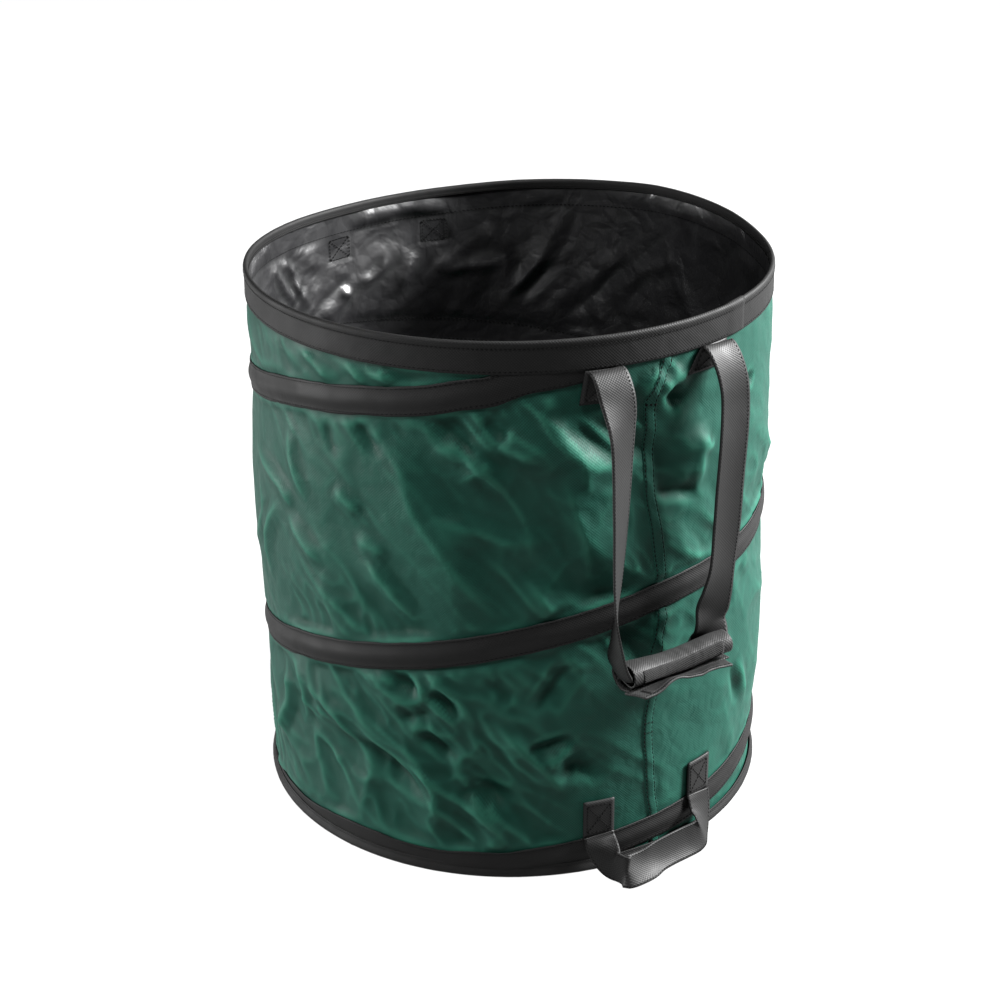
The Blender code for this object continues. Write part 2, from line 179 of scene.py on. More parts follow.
def addNode(tree, kind, sockets={}, **settings):
    # a node given as a value stands for its first output
    node = tree.nodes.new(f"ShaderNode{kind}")
    for name, value in settings.items():
        setattr(node, name, value)
    for name, value in sockets.items():
        if isinstance(value, bpy.types.Node):
            value = value.outputs[0]
        if isinstance(value, bpy.types.NodeSocket):
            tree.links.new(value, node.inputs[name])
        else:
            node.inputs[name].default_value = value
    return node


def newMaterial(name):
    material = bpy.data.materials.new(name)
    material.use_nodes = True
    material.node_tree.nodes.clear()
    return material


def finishMaterial(material, shader):
    addNode(material.node_tree, "OutputMaterial", {"Surface": shader})
    return material


def aimedLight(name, spec):
    turn, height, distance, size, power = spec
    lamp = bpy.data.lights.new(name, "AREA")
    lamp.shape = "DISK"
    lamp.size = size
    lamp.energy = power
    made = bpy.data.objects.new(name, lamp)
    level = distance * math.cos(math.radians(height))
    target = Vector((0, 0, bag["height"] / 2))
    place = around(turn, level, target.z + distance * math.sin(math.radians(height)))
    made.matrix_world = Matrix.Translation(place) @ (place - target).to_track_quat("Z", "Y").to_matrix().to_4x4()
    bpy.context.scene.collection.objects.link(made)


def lightStudio():
    scene = bpy.context.scene
    scene.view_settings.view_transform = "Standard"
    world = bpy.data.worlds.new("studio")
    world.use_nodes = True
    sky = world.node_tree.nodes["Background"]
    sky.inputs["Color"].default_value = (1, 1, 1, 1)
    sky.inputs["Strength"].default_value = studio["world"]
    scene.world = world
    for name in ("key", "left", "front"):
        aimedLight(f"{name}_light", studio[name])

    paper = newMaterial("matt_paper")
    grain = addNode(paper.node_tree, "TexNoise", {"Scale": 3.0, "Detail": 3.0})
    tint = addNode(paper.node_tree, "MixRGB", {
        "Fac": grain, "Color1": hexColour(studio["paper"][0]), "Color2": hexColour(studio["paper"][1]),
    })
    finishMaterial(paper, addNode(paper.node_tree, "BsdfPrincipled", {
        "Base Color": tint, "Roughness": 0.9, "Specular IOR Level": 0.1,
        "Emission Color": hexColour("#ffffff"), "Emission Strength": studio["glow"],
    }))
    shape = bmesh.new()
    bmesh.ops.create_grid(shape, x_segments=2, y_segments=2, size=studio["floorSize"] / 2)
    mesh = bpy.data.meshes.new("studio_floor")
    shape.to_mesh(mesh)
    mesh.materials.append(paper)
    floor = bpy.data.objects.new("studio_floor", mesh)
    scene.collection.objects.link(floor)


lightStudio()
print("camera and light set")

# Each cloth: sRGB hex for the thread's valley and crown, the colour that worn and stretched places take and that sharp
# crests take as a painted highlight, and the thread spacing in mm along and across. Real threads are 0.5 mm apart,
# drawn coarser so that the weave shows.
# crumple, facets and fine are mm across and mm deep: soft dents, sharp creases and the fine ones between them
cloths = {
    # PU coated polyester oxford, piece dyed: a tight plain weave, dull, with a faint gloss from the coating
    "coated_oxford": dict(
        valley="#06211a", crown="#12352d", wornAndHighlit="#1d493c", pitch=(1.25, 1.25), relief=0.11, roughness=0.6,
        gloss=0.07, crumple=(24, 1.0), facets=(17, 0.55), fine=(8, 0.25),
    ),
    # the oxford's back: black PVC coat, glossy and finely creased
    "pvc_lining": dict(
        valley="#0c0c0d", crown="#111112", wornAndHighlit="#141515", pitch=(1.4, 1.4), relief=0.04, roughness=0.35,
        gloss=0.62, crumple=(34, 2.4), facets=(22, 1.0), fine=(9, 0.2),
    ),
    # woven polyester binding tape: dull, with a fine oxford grain
    "binding_tape": dict(
        valley="#080808", crown="#161616", wornAndHighlit="#181818", pitch=(1.25, 1.25), relief=0.18, roughness=0.6,
        gloss=0.07, crumple=(26, 0.5), facets=(22, 0.2), fine=(6, 0.12),
    ),
    # polypropylene webbing: smooth hard yarn with a faint gloss
    "webbing": dict(
        valley="#080808", crown="#1b1b1b", wornAndHighlit="#191919", pitch=(1.3, 1.3), relief=0.13, roughness=0.52,
        gloss=0.09, crumple=(30, 0.3), facets=(26, 0.12), fine=(5, 0.08),
    ),
    # uncoated polyester oxford of the grip
    "grip_oxford": dict(
        valley="#0a0a0a", crown="#222222", wornAndHighlit="#1d1d1d", pitch=(1.25, 1.25), relief=0.22, roughness=0.6,
        gloss=0.1, crumple=(18, 0.6), facets=(16, 0.3), fine=(5, 0.2),
    ),
    # spun polyester sewing thread, matt black
    "black_thread": dict(
        valley="#030303", crown="#070707", wornAndHighlit="#070707", pitch=(0.6, 0.6), relief=0.05, roughness=0.8,
        gloss=0.03, crumple=(20, 0.1), facets=(9, 0.05), fine=(4, 0.05),
    ),
    # nylon hook tape: stiff little hooks, drawn as a coarse stubble
    "hook_nylon": dict(
        valley="#090909", crown="#171717", wornAndHighlit="#161616", pitch=(0.9, 0.9), relief=0.4, roughness=0.7,
        gloss=0.08, crumple=(12, 0.2), facets=(6, 0.2), fine=(2, 0.3),
    ),
    # nylon loop tape: a soft brushed pile
    "loop_nylon": dict(
        valley="#0b0b0b", crown="#171717", wornAndHighlit="#161616", pitch=(1.1, 0.8), relief=0.4, roughness=0.9,
        gloss=0.06, sheen=0.04, crumple=(10, 0.3), facets=(5, 0.2), fine=(2, 0.4),
    ),
}


def clothMaterial(name, look):
    material = newMaterial(name)
    tree = material.node_tree
    cut = addNode(tree, "UVMap", uv_map="cut")
    place = addNode(tree, "TexCoord")
    # a plain weave: the product of two waves, each two threads long, is light where a thread lies on top; at
    # scale 1 Blender's wave turns 20 radians a metre
    waves = []
    for direction, pitch in zip("XY", look["pitch"]):
        wave = addNode(
            tree, "TexWave",
            {"Vector": cut, "Scale": 2 * math.pi / 20 / (2 * pitch * mm), "Distortion": 0.5,
             "Detail": 1.0, "Detail Scale": 0.3},
            bands_direction=direction, wave_profile="SIN",
        )
        waves.append(addNode(tree, "Math", {0: wave.outputs["Fac"], 1: 0.5}, operation="SUBTRACT"))
    product = addNode(tree, "Math", {0: waves[0], 1: waves[1]}, operation="MULTIPLY")
    weave = addNode(tree, "Math", {0: product, 1: 2.0, 2: 0.5}, operation="MULTIPLY_ADD")

    size, depth = look["crumple"]
    crumple = addNode(tree, "TexNoise", {
        "Vector": place.outputs["Object"], "Scale": 1 / (size * mm), "Detail": 4.0, "Roughness": 0.45,
        "Distortion": 0.6,
    })
    # the noise's colour bends the facets' lines, as creases in cloth are never straight for long
    facetSize, facetDepth = look["facets"]
    bend = addNode(tree, "VectorMath", {0: crumple.outputs["Color"], 1: (0.016, 0.016, 0.016)},
                   operation="MULTIPLY")
    swayed = addNode(tree, "VectorMath", {0: place.outputs["Object"], 1: bend},
                     operation="ADD")
    facets = addNode(
        tree, "TexVoronoi", {"Vector": swayed, "Scale": 1 / (facetSize * mm)},
        feature="DISTANCE_TO_EDGE",
    )
    fineSize, fineDepth = look["fine"]
    fine = addNode(tree, "TexNoise", {
        "Vector": place.outputs["Object"], "Scale": 1 / (fineSize * mm), "Detail": 3.0, "Distortion": 0.4,
    })
    wide = addNode(tree, "TexNoise", {
        "Vector": place.outputs["Object"], "Scale": 1 / (120 * mm), "Detail": 5.0, "Roughness": 0.6,
    })
    yarn = addNode(tree, "MixRGB", {
        "Fac": weave, "Color1": hexColour(look["valley"]), "Color2": hexColour(look["crown"]),
    })
    patches = addNode(tree, "MapRange", {
        "Value": wide, "From Min": 0.45, "From Max": 0.75, "To Min": 0.0, "To Max": 0.2,
    })
    # a sharp crest is painted pale, partly as stretched and rubbed wear and partly as a painted highlight, and a hollow
    # is darkened as painted shade; 0 on pieces without the attribute
    bent = addNode(tree, "Attribute", attribute_name="crease")
    rubbedAndHighlit = addNode(tree, "Math", {0: bent.outputs["Fac"], 1: 0.6, 2: patches},
                     operation="MULTIPLY_ADD", use_clamp=True)
    # painted shade: the hollows are mixed towards the valley colour
    hollowShade = addNode(tree, "Math", {0: bent.outputs["Fac"], 1: -0.8}, operation="MULTIPLY", use_clamp=True)
    paled = addNode(tree, "MixRGB", {
        "Fac": rubbedAndHighlit, "Color1": yarn, "Color2": hexColour(look["wornAndHighlit"]),
    })
    colour = addNode(tree, "MixRGB", {
        "Fac": hollowShade, "Color1": paled, "Color2": hexColour(look["valley"]),
    })
    polish = addNode(tree, "MapRange", {
        "Value": crumple, "From Min": 0.3, "From Max": 0.7,
        "To Min": look["roughness"] - 0.06, "To Max": look["roughness"] + 0.06,
    })
    dents = addNode(tree, "Bump", {"Height": crumple, "Distance": depth * mm})
    creased = addNode(tree, "Bump", {
        "Height": facets, "Distance": facetDepth * mm, "Normal": dents,
    })
    creases = addNode(tree, "Bump", {
        "Height": fine, "Distance": fineDepth * mm, "Normal": creased,
    })
    grain = addNode(tree, "Bump", {
        "Height": weave, "Distance": look["relief"] * mm, "Normal": creases,
    })
    return finishMaterial(material, addNode(tree, "BsdfPrincipled", {
        "Base Color": colour, "Roughness": polish,
        "Normal": grain, "Specular IOR Level": look["gloss"], "Sheen Weight": look.get("sheen", 0.0),
        "Sheen Roughness": 0.5, "IOR": 1.5,
    }))


cloth = {name: clothMaterial(name, look) for name, look in cloths.items()}


def steelMaterial(name, colour, dark, roughness, scale):
    material = newMaterial(name)
    tree = material.node_tree
    place = addNode(tree, "TexCoord")
    marks = addNode(tree, "TexNoise", {
        "Vector": place.outputs["Object"], "Scale": 1 / (scale * mm), "Detail": 4.0,
    })
    tint = addNode(tree, "MixRGB", {
        "Fac": marks, "Color1": hexColour(dark), "Color2": hexColour(colour),
    })
    rough = addNode(tree, "MapRange", {
        "Value": marks, "To Min": roughness - 0.08, "To Max": roughness + 0.1,
    })
    dents = addNode(tree, "Bump", {"Height": marks, "Distance": 0.05 * mm})
    return finishMaterial(material, addNode(tree, "BsdfPrincipled", {
        "Base Color": tint, "Metallic": 1.0, "Roughness": rough,
        "Normal": dents,
    }))


# drawn spring wire: grey with fine die marks; the ferrules: zinc plated steel, crimped, a little brighter
springSteel = steelMaterial("drawn_spring_steel", "#8f9295", "#6d7073", 0.32, 3)
crimpedSteel = steelMaterial("crimped_zinc_steel", "#a9abad", "#85888a", 0.42, 5)
print("finishes made")


def layCloth(alongSteps, acrossSteps, place, cut, ring=False):
    # a flat grid cut to size, with its own UV in metres, then laid where place(u, v) says
    shape = bmesh.new()
    bmesh.ops.create_grid(shape, x_segments=alongSteps, y_segments=acrossSteps, size=0.5)
    layer = shape.loops.layers.uv.new("cut")
    for face in shape.faces:
        for loop in face.loops:
            loop[layer].uv = ((loop.vert.co.x + 0.5) * cut[0], (loop.vert.co.y + 0.5) * cut[1])
    for vert in shape.verts:
        vert.co = place(vert.co.x + 0.5, vert.co.y + 0.5)
    if ring:
        bmesh.ops.remove_doubles(shape, verts=shape.verts, dist=0.01 * mm)
    return shape


def finishPiece(name, shape, materials, body, thick=0.0, replaced=(), squash=None, turned=0):
    # turned: 1 for an open sheet whose faces should look outwards, -1 for one that should look at the axis
    if turned:
        tilt = sum(face.normal.dot(wayOut(face.calc_center_median())) * face.calc_area() for face in shape.faces)
        if tilt * turned < 0:
            bmesh.ops.reverse_faces(shape, faces=shape.faces)
    for face in shape.faces:
        face.smooth = True
    mesh = bpy.data.meshes.new(name)
    shape.to_mesh(mesh)
    shape.free()
    for material in materials:
        mesh.materials.append(material)
    made = bpy.data.objects.new(name, mesh)
    bpy.context.scene.collection.objects.link(made)
    if thick:
        shell = made.modifiers.new("thickness", "SOLIDIFY")
        shell.thickness = thick
        shell.offset = 0.0
        shell.use_even_offset = False
        shell.material_offset = 1 if len(materials) > 1 else 0
        solid = bpy.data.meshes.new_from_object(made.evaluated_get(bpy.context.evaluated_depsgraph_get()))
        made.modifiers.clear()
        made.data = solid
        solid.name = name
    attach(made, body)
    if replaced:
        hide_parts(*replaced)
    if squash:
        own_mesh(made)
    return made


wallSquash = (0.0, 0.15)
frontSquash = (0.4659, 0.12)


# pitch of each kind of stitch, then its length, width and thickness, in mm
stitches = {
    "tape": (3.6, 2.8, 0.75, 0.55),
    "hem": (4.0, 2.8, 0.75, 0.55),
    "seam": (4.4, 3.5, 1.0, 0.7),
    "tack": (3.2, 2.8, 0.9, 0.6),
    "coil": (4.2, 3.2, 0.8, 0.6),
    "strap": (3.4, 2.6, 0.7, 0.5),
    "box": (3.2, 2.8, 0.95, 0.7),
}


def sewLine(shape, points, kind, outs=None):
    # small stitches through the points, their flat side towards outs
    pitch, long, wide, thick = stitches[kind]
    outs = outs or [wayOut(point) for point in points]
    lengths = [0.0]
    for a, b in zip(points, points[1:]):
        lengths.append(lengths[-1] + (b - a).length)
    count = int(lengths[-1] / (pitch * mm))
    k = 0
    for step in range(count):
        reach = (step + 0.5) * lengths[-1] / count
        while lengths[k + 1] < reach:
            k += 1
        t = (reach - lengths[k]) / (lengths[k + 1] - lengths[k])
        middle = points[k].lerp(points[k + 1], t)
        out = outs[k].lerp(outs[k + 1], t).normalized()
        ahead = (points[k + 1] - points[k]).normalized()
        aside = out.cross(ahead).normalized()
        axes = Matrix((ahead * long / 2 * mm, aside * wide / 2 * mm, out * thick / 2 * mm)).transposed()
        bmesh.ops.create_icosphere(
            shape, subdivisions=1, radius=1.0, matrix=Matrix.Translation(middle) @ axes.to_4x4(),
        )


def finishThread(name, shape, body, squash=None):
    finishPiece(name, shape, [cloth["black_thread"]], body, squash=squash)


# The coil's middle line: turn and height in mm, read off the photo and carried round the back. Its upper end runs
# in under the rim's tape, its lower end along the base's tape until it is tucked under that
coil = {
    "route": [
        (-70.5, 473), (-75, 470.8), (-80.6, 467), (-88.6, 460.5), (-94, 453.2), (-99, 449.6), (-108, 441.5),
        (-138, 423), (-172, 396), (-225, 361), (-283, 328), (-330, 297), (-368, 271), (-394, 263), (-408, 259),
        (-420, 254), (-444, 236), (-465, 217),
        (-495, 190), (-532, 156), (-600, 115), (-670, 75), (-745, 39), (-773, 28), (-797, 19.5), (-811, 12.5),
        (-820, 10.5), (-828, 8.5), (-836, 9.5), (-844, 11.5), (-853, 10.5), (-864, 5.5), (-875, 3.5),
        (-890, 1), (-908, -4),
    ],
    "width": 25 * mm,
    "arch": 2.1 * mm,
    "archHalf": 10.0 * mm,
    "lowest": 3.6 * mm,  # the tape goes no lower than this, where it is tucked in
    "flat": 0.85 * mm,  # the tape's stand off the wall, and where it is tucked in at its upper end
    "tucked": 0.4 * mm,
    # degrees from the upper end, from the lower end and from the upper end, and over how many
    "archRises": (6, 26),
    "archEnds": (70, 30),
    "untucks": (20, 30),
    "wireRadius": 1.1 * mm,
    "wireEnds": (106, 802),
    "wireSteps": 400,
    "steps": (680, 14),
}
coilKnots = [(-turn, height * mm) for turn, height in coil["route"]]
firstTurn, lastTurn = coilKnots[0][0], coilKnots[-1][0]
rim = {
    "tapeHeight": 27 * mm,
    "liftFrom": 400 * mm,  # the rim's lift fades in from here
    "liftOver": 70 * mm,
    # where the rim stands above or below a level ring: turn, mm
    "lift": [
        (-180, 0), (-20, 0), (10, 0), (28, 4), (50, 6.5), (64, 4), (85, 0), (106, -4.5), (133, -6.5), (154, -4.5),
        (172, -2), (190, 0),
    ],
}
base = {"tapeHeight": 10.5 * mm}
# how far from a tape, and from a sewn end, the wall is quite free
edgeHold, sewnHold = 9 * mm, 32 * mm


@functools.cache
def coilHeights(turn):
    passes = []
    place = -turn
    while place > firstTurn:
        place -= 360
    place += 360
    while place <= lastTurn:
        passes.append(smoothThrough(coilKnots, place))
        place += 360
    return passes


def rimLift(turn, height):  # 0 for whatever lies lower than the rim's surroundings
    weight = ease((height - rim["liftFrom"]) / rim["liftOver"])
    return weight * smoothThrough(rim["lift"], wrapTurn(turn, -170.0)) * mm if weight else 0.0


# The webbing's sewn ends: turn of the handle's middle, half spacing in degrees, half width, then for the left and
# the right one the lowest and highest line and how far the lower left and lower right corners lie aside, in mm
sewnEnds = {
    "front": (bag["frontTurn"], 13.41, 16 * mm, (438.6, 466.7, -4.5, -2), (446.5, 466.7, -14, 0)),
    "back": (bag["backTurn"], 13.41, 16 * mm, (437.7, 466.7, 0, 0), (437.7, 466.7, 0, 0)),
    "base": (bag["frontTurn"], 13.41, 14 * mm, (34.5, 70.3, 0, 0), (40.5, 76.5, 0, 0)),
}


def freeCloth(turn, height):
    # 0 where a tape or a sewn end holds the wall, 1 where it hangs free; and the distance to the nearest edge
    edges = [height - base["tapeHeight"], bag["height"] - rim["tapeHeight"] - height]
    edges += [abs(height - row) - coil["width"] / 2 for row in coilHeights(turn)]
    gap = max(min(edges), 0.0)
    free = ease(gap / edgeHold)
    for middle, half, reach, *ends in sewnEnds.values():
        for side, (low, high, _, _) in zip((-1, 1), ends):
            aside = abs(math.radians(wrapTurn(turn - middle - side * half))) * bag["radius"] - reach
            above = max(low * mm - height, height - high * mm)
            free *= ease(math.hypot(max(aside, 0.0), max(above, 0.0)) / sewnHold)
    return free, gap


# Folds of the wall: height in mm (a ridge above 0, a valley below), how wide its two flanks are in mm, and the
# pixels of the photo that its crest runs through. For a crest drawn downwards the flanks are the left and the
# right one, for one drawn to the right the one below and the one above
outerFolds = [
    (3.0, (9, 7), [(258, 435), (283, 483), (294, 511)]),
    (2.8, (8, 7), [(287, 412), (294, 458), (309, 507)]),
    (2.8, (8, 9), [(284, 494), (272, 530), (277, 584)]),
    (2.6, (8, 8), [(288, 509), (306, 540), (326, 566)]),
    (2.0, (7, 7), [(262, 470), (268, 510), (263, 545)]),
    (6.5, (34, 22), [(392, 425), (404, 480), (420, 520), (442, 550), (472, 592), (498, 628)]),
    (-3.6, (16, 34), [(446, 534), (478, 562), (508, 592), (530, 614)]),
    (3.4, (24, 10), [(419, 511), (452, 524), (486, 537), (512, 545), (560, 540)]),
    (3.0, (10, 8), [(455, 487), (470, 476), (484, 472), (498, 484), (512, 498)]),
    (-3.0, (9, 10), [(432, 422), (455, 440), (478, 456)]),
    (3.0, (8, 14), [(428, 452), (455, 449), (478, 458), (500, 474)]),
    (-3.6, (10, 9), [(482, 414), (496, 430), (512, 436)]),
    (4.6, (34, 12), [(533, 405), (562, 430), (588, 460), (607, 480)]),
    (3.6, (10, 10), [(478, 412), (486, 436), (520, 452), (556, 466)]),
    (4.4, (10, 36), [(557, 470), (570, 497), (580, 530), (589, 572), (598, 604)]),
    (2.2, (8, 8), [(352, 540), (370, 546), (388, 560)]),
    (3.8, (20, 9), [(354, 542), (380, 578), (400, 606), (420, 630)]),
    (2.4, (9, 7), [(333, 486), (347, 500), (362, 515)]),
    (2.6, (12, 9), [(483, 551), (515, 588), (550, 622)]),
    (2.4, (10, 8), [(523, 574), (545, 600), (558, 618)]),
    (-2.0, (5, 6), [(326, 418), (329, 440), (340, 462)]),
    (-2.4, (6, 6), [(357, 418), (366, 436), (384, 458)]),
    (-4.2, (5, 7), [(421, 692), (441, 702), (460, 719)]),
    (-3.0, (8, 8), [(391, 677), (405, 686), (422, 692)]),
    (-2.8, (9, 8), [(392, 719), (414, 716), (436, 714)]),
    (-4.4, (7, 9), [(414, 732), (432, 746), (459, 764)]),
    (-4.2, (14, 8), [(328, 729), (366, 751), (400, 776), (438, 804)]),
    (4.6, (9, 16), [(396, 758), (448, 796), (488, 822), (513, 850)]),
    (-5.0, (10, 9), [(452, 795), (480, 797), (511, 810)]),
    (4.2, (12, 11), [(488, 718), (522, 749), (549, 775), (570, 802)]),
    (-3.6, (9, 4), [(522, 752), (549, 745), (576, 738)]),
    (3.8, (9, 8), [(574, 742), (560, 757), (547, 769)]),
    (-5.0, (10, 14), [(558, 778), (580, 766), (601, 783)]),
    (-4.4, (8, 12), [(571, 660), (556, 684), (534, 714)]),
    (-2.6, (8, 8), [(482, 678), (500, 692), (512, 704)]),
    (3.2, (7, 7), [(284, 648), (290, 700), (286, 740)]),
    (2.4, (6, 6), [(298, 655), (306, 690), (301, 730)]),
    (2.4, (8, 8), [(277, 748), (284, 764), (290, 776)]),
    (2.2, (6, 6), [(733, 655), (742, 700)]),
    (-2.0, (5, 5), [(728, 660), (735, 700)]),
    (2.6, (8, 6), [(659, 367), (650, 385), (645, 402)]),
    (3.2, (8, 8), [(652, 398), (678, 380), (700, 355)]),
    (-4.6, (9, 8), [(664, 403), (685, 383)]),
    (4.2, (30, 8), [(698, 420), (697, 455), (699, 488)]),
    (-3.0, (7, 12), [(648, 489), (697, 488)]),
    (2.4, (5, 5), [(701, 429), (705, 444), (714, 441)]),
    (-2.2, (4, 4), [(746, 376), (752, 379)]),
]
# inside, a ridge stands in towards the axis
innerFolds = [
    (7, (15, 12), [(412, 240), (410, 254), (402, 276), (393, 296)]),
    (7, (12, 14), [(430, 270), (450, 252), (478, 236)]),
    (6, (12, 14), [(427, 272), (460, 266), (490, 262), (506, 255)]),
    (6, (15, 12), [(480, 220), (492, 232), (506, 250), (506, 275), (500, 296)]),
    (5, (9, 9), [(386, 244), (380, 266), (366, 278), (350, 282)]),
    (5, (8, 8), [(336, 290), (352, 296)]),
    (6, (9, 9), [(275, 255), (290, 268), (296, 290), (312, 312)]),
    (5, (8, 9), [(268, 262), (280, 285), (300, 312)]),
    (6, (14, 12), [(500, 305), (530, 270), (557, 245)]),
    (-6, (12, 10), [(512, 300), (535, 281), (560, 255)]),
    (4, (11, 11), [(300, 262), (330, 262), (345, 275)]),
    (4, (14, 12), [(600, 300), (650, 270), (700, 260)]),
    (-4, (12, 14), [(560, 320), (600, 290), (640, 240)]),
]
wall = {
    "columns": 560,
    "rows": 168,
    "low": 5.9 * mm,
    "high": 487.6 * mm,
    # how far the cloth hangs inwards between two tapes by turn, as a share of the free height; below 0 it bulges
    "sag": [
        (-180, -0.024), (-150, -0.012), (-115, 0.006), (-60, 0.0), (-35, -0.01), (-5, -0.024), (20, -0.02),
        (60, 0.01), (150, 0.008), (180, -0.024),
    ],
    "foldHeight": 1.9,
    "innerHeight": 0.75,
    # creases between the folds: height in mm, size in mm, slant in degrees a metre, stretch upwards
    "creases": ((18, 95, 150, 0.6), (10, 44, 210, 0.7), (2.6, 18, 120, 0.8)),
    # how strong they are by turn: the side where the cloth is drawn tight is calm
    "calm": [(-180, 0.45), (-150, 0.6), (-118, 0.9), (-60, 0.8), (-20, 0.5), (20, 0.8), (150, 1), (180, 0.45)],
    # and above this height at the back, where the lining is seen
    "calmAbove": (270 * mm, 0.35),
    "gather": (0.9, 75.0, 0.12),
    "gatherReach": 14 * mm,
    "rubbedAndHighlit": 1.1 * mm,  # the height of a crest above the cloth beside it, and the depth of a hollow below it, at which the crest's pale paint (rubbed wear and painted highlight) and the hollow's painted shade are full
    # folds made up where the photo shows nothing: turns in degrees; heights, bends and flanks in mm
    "madeUp": {
        "count": 80, "turns": (16, 168), "lows": (20, 420), "rises": (40, 130), "lean": 0.9, "bend": 12,
        "tall": (2.5, 6.0), "flanks": (7, 20),
    },
    # the lining puffs and pleats more than the oxford: rim band, then pleats beside a seam, in mm
    "puff": (3.8, 30.0),
    "pleat": 1.3,
    "pillow": 1.3,
    # the lower row of the rim's stitches, and how tall the band above it is
    "rimStitch": 468 * mm,
    "rimBand": 18 * mm,
}


def alongGirth(turn):
    return math.radians(wrapTurn(turn, bag["seamTurn"]) - bag["seamTurn"]) * bag["radius"]


def besideStart(s, start):  # how far round the girth from a fold's start, the short way
    return (s - start + girth / 2) % girth - girth / 2


def storeFold(tall, flanks, start, points):
    knots = list(enumerate(points))
    curve = [smoothThrough(knots, i / 3) for i in range(3 * (len(points) - 1) + 1)]
    margin = max(flanks) * mm
    return {
        "tall": tall * mm, "flanks": [flank * mm for flank in flanks], "start": start, "curve": curve,
        "left": min(p.x for p in curve) - margin, "right": max(p.x for p in curve) + margin,
        "low": min(p.y for p in curve) - margin, "high": max(p.y for p in curve) + margin,
    }


def readFold(fold, inside):
    tall, flanks, pixels = fold
    spots = [wallSpot(pixel, inside) for pixel in pixels]
    start = alongGirth(spots[0][0])
    points = [Vector((besideStart(alongGirth(turn), start), height)) for turn, height in spots]
    # seen from inside, turns run to the left, so left and right change places
    tall *= -wall["innerHeight"] if inside else wall["foldHeight"]
    if not inside:
        flanks = [1.3 * flank + 3 for flank in flanks]
    return storeFold(tall, flanks[::-1] if inside else flanks, start, points)


def madeUpFolds():
    # diagonals between the tapes, seeded so that each run is alike
    made, spec = [], wall["madeUp"]
    for _ in range(spec["count"]):
        turn = chance.uniform(*spec["turns"])
        low = chance.uniform(*spec["lows"]) * mm
        rise = chance.uniform(*spec["rises"]) * mm
        lean = chance.uniform(-spec["lean"], spec["lean"])
        bend = chance.uniform(-spec["bend"], spec["bend"]) * mm
        tall = chance.choice((-1, 1)) * chance.uniform(*spec["tall"])
        tall *= 1 if low + rise < wall["calmAbove"][0] else 0.3
        points = [Vector((0, low)), Vector((lean * rise / 2 + bend, low + rise / 2)), Vector((lean * rise, low + rise))]
        flanks = (chance.uniform(*spec["flanks"]), chance.uniform(*spec["flanks"]))
        made.append(storeFold(tall, flanks, alongGirth(turn), points))
    return made


folds = [readFold(fold, False) for fold in outerFolds] + [readFold(fold, True) for fold in innerFolds] + madeUpFolds()


def foldLift(aside, height, fold):
    nearest, share, hand = 1.0, 0.0, 0
    curve = fold["curve"]
    for k, (a, b) in enumerate(zip(curve, curve[1:])):
        dx, dy = b.x - a.x, b.y - a.y
        t = clamp(((aside - a.x) * dx + (height - a.y) * dy) / (dx * dx + dy * dy + 1e-12))
        offX, offY = aside - a.x - t * dx, height - a.y - t * dy
        gap = math.hypot(offX, offY)
        if gap < nearest:
            nearest, share, hand = gap, (k + t) / (len(curve) - 1), 1 if dx * offY - dy * offX > 0 else 0
    reach = nearest / fold["flanks"][hand]
    if reach >= 0.995:
        return 0.0
    ends = ease(min(share, 1 - share) * 2.6 + 0.05)
    # a flat flank up to a crest that is just rounded off
    return fold["tall"] * ends * (1.0 - math.sqrt(reach * reach + 0.002)) ** 1.2


def creaseLift(turn, height):
    # warped noise folded at its zero line: long creases that fork and fade
    lift = 0.0
    for tall, size, slant, stretch in wall["creases"]:
        spot = around(turn + slant * height, bag["radius"], height * stretch) / (size * mm)
        spot += noise.noise_vector(spot * 0.6) * 0.5
        lift += tall * mm * (0.2 - abs(noise.noise(spot)))
    strength = 0.3 + 1.0 * ease(0.5 + noise.noise(around(turn, 1.1, height * 5)) * 1.4)
    above, quiet = wall["calmAbove"]
    hushed = ease((height - above) / (60 * mm)) * ease((70 - abs(wrapTurn(turn) - 90)) / 20)
    return lift * strength * smoothThrough(wall["calm"], wrapTurn(turn)) * (1 - (1 - quiet) * hushed)


def wallRow(turn, height, near, s):
    # radii of the oxford and of the lining at one place
    free, gap = freeCloth(turn, height)
    out = bag["radius"]
    spot = around(turn, bag["radius"], height)
    amount, cycles, upwards = wall["gather"]
    gather = noise.noise(Vector((spot.x * cycles, spot.y * cycles, spot.z * cycles * upwards))) * 2
    hug = math.exp(-gap / wall["gatherReach"])
    if free:
        rows = sorted([base["tapeHeight"], *coilHeights(turn), bag["height"] - rim["tapeHeight"]])
        below = max([row for row in rows if row <= height], default=rows[0])
        above = min([row for row in rows if row > height], default=rows[-1])
        t = clamp((height - below) / max(above - below, 1 * mm))
        lift = creaseLift(turn, height) + gather * amount * mm * hug
        for fold in near:
            if fold["low"] < height < fold["high"]:
                lift += foldLift(besideStart(s, fold["start"]), height, fold)
        out += free * lift - smoothThrough(wall["sag"], wrapTurn(turn)) * (above - below) * 4 * t * (1 - t)
    # the lining pleats beside the seams and puffs in the band under the rim
    puff, cycles = wall["puff"]
    swell = noise.noise(Vector((spot.x * cycles, spot.y * cycles, spot.z * 30)))
    lively = 0.15 + 0.85 * ease((wrapTurn(turn, -90) - 70) / 50)
    band = math.sin(math.pi * clamp((height - wall["rimStitch"]) / wall["rimBand"])) ** 0.7
    swell = puff * lively * ease(0.35 + 1.6 * swell) * band
    pillow = wall["pillow"] * lively * (1 - math.exp(-max(wall["rimStitch"] - height, 0.0) / (5 * mm))) * free
    pleat = max(gather, 0.0) * wall["pleat"] * hug * free / (ease(gap / edgeHold) + 0.001) * lively + swell + pillow
    return out, out - bag["cloth"] - pleat * mm


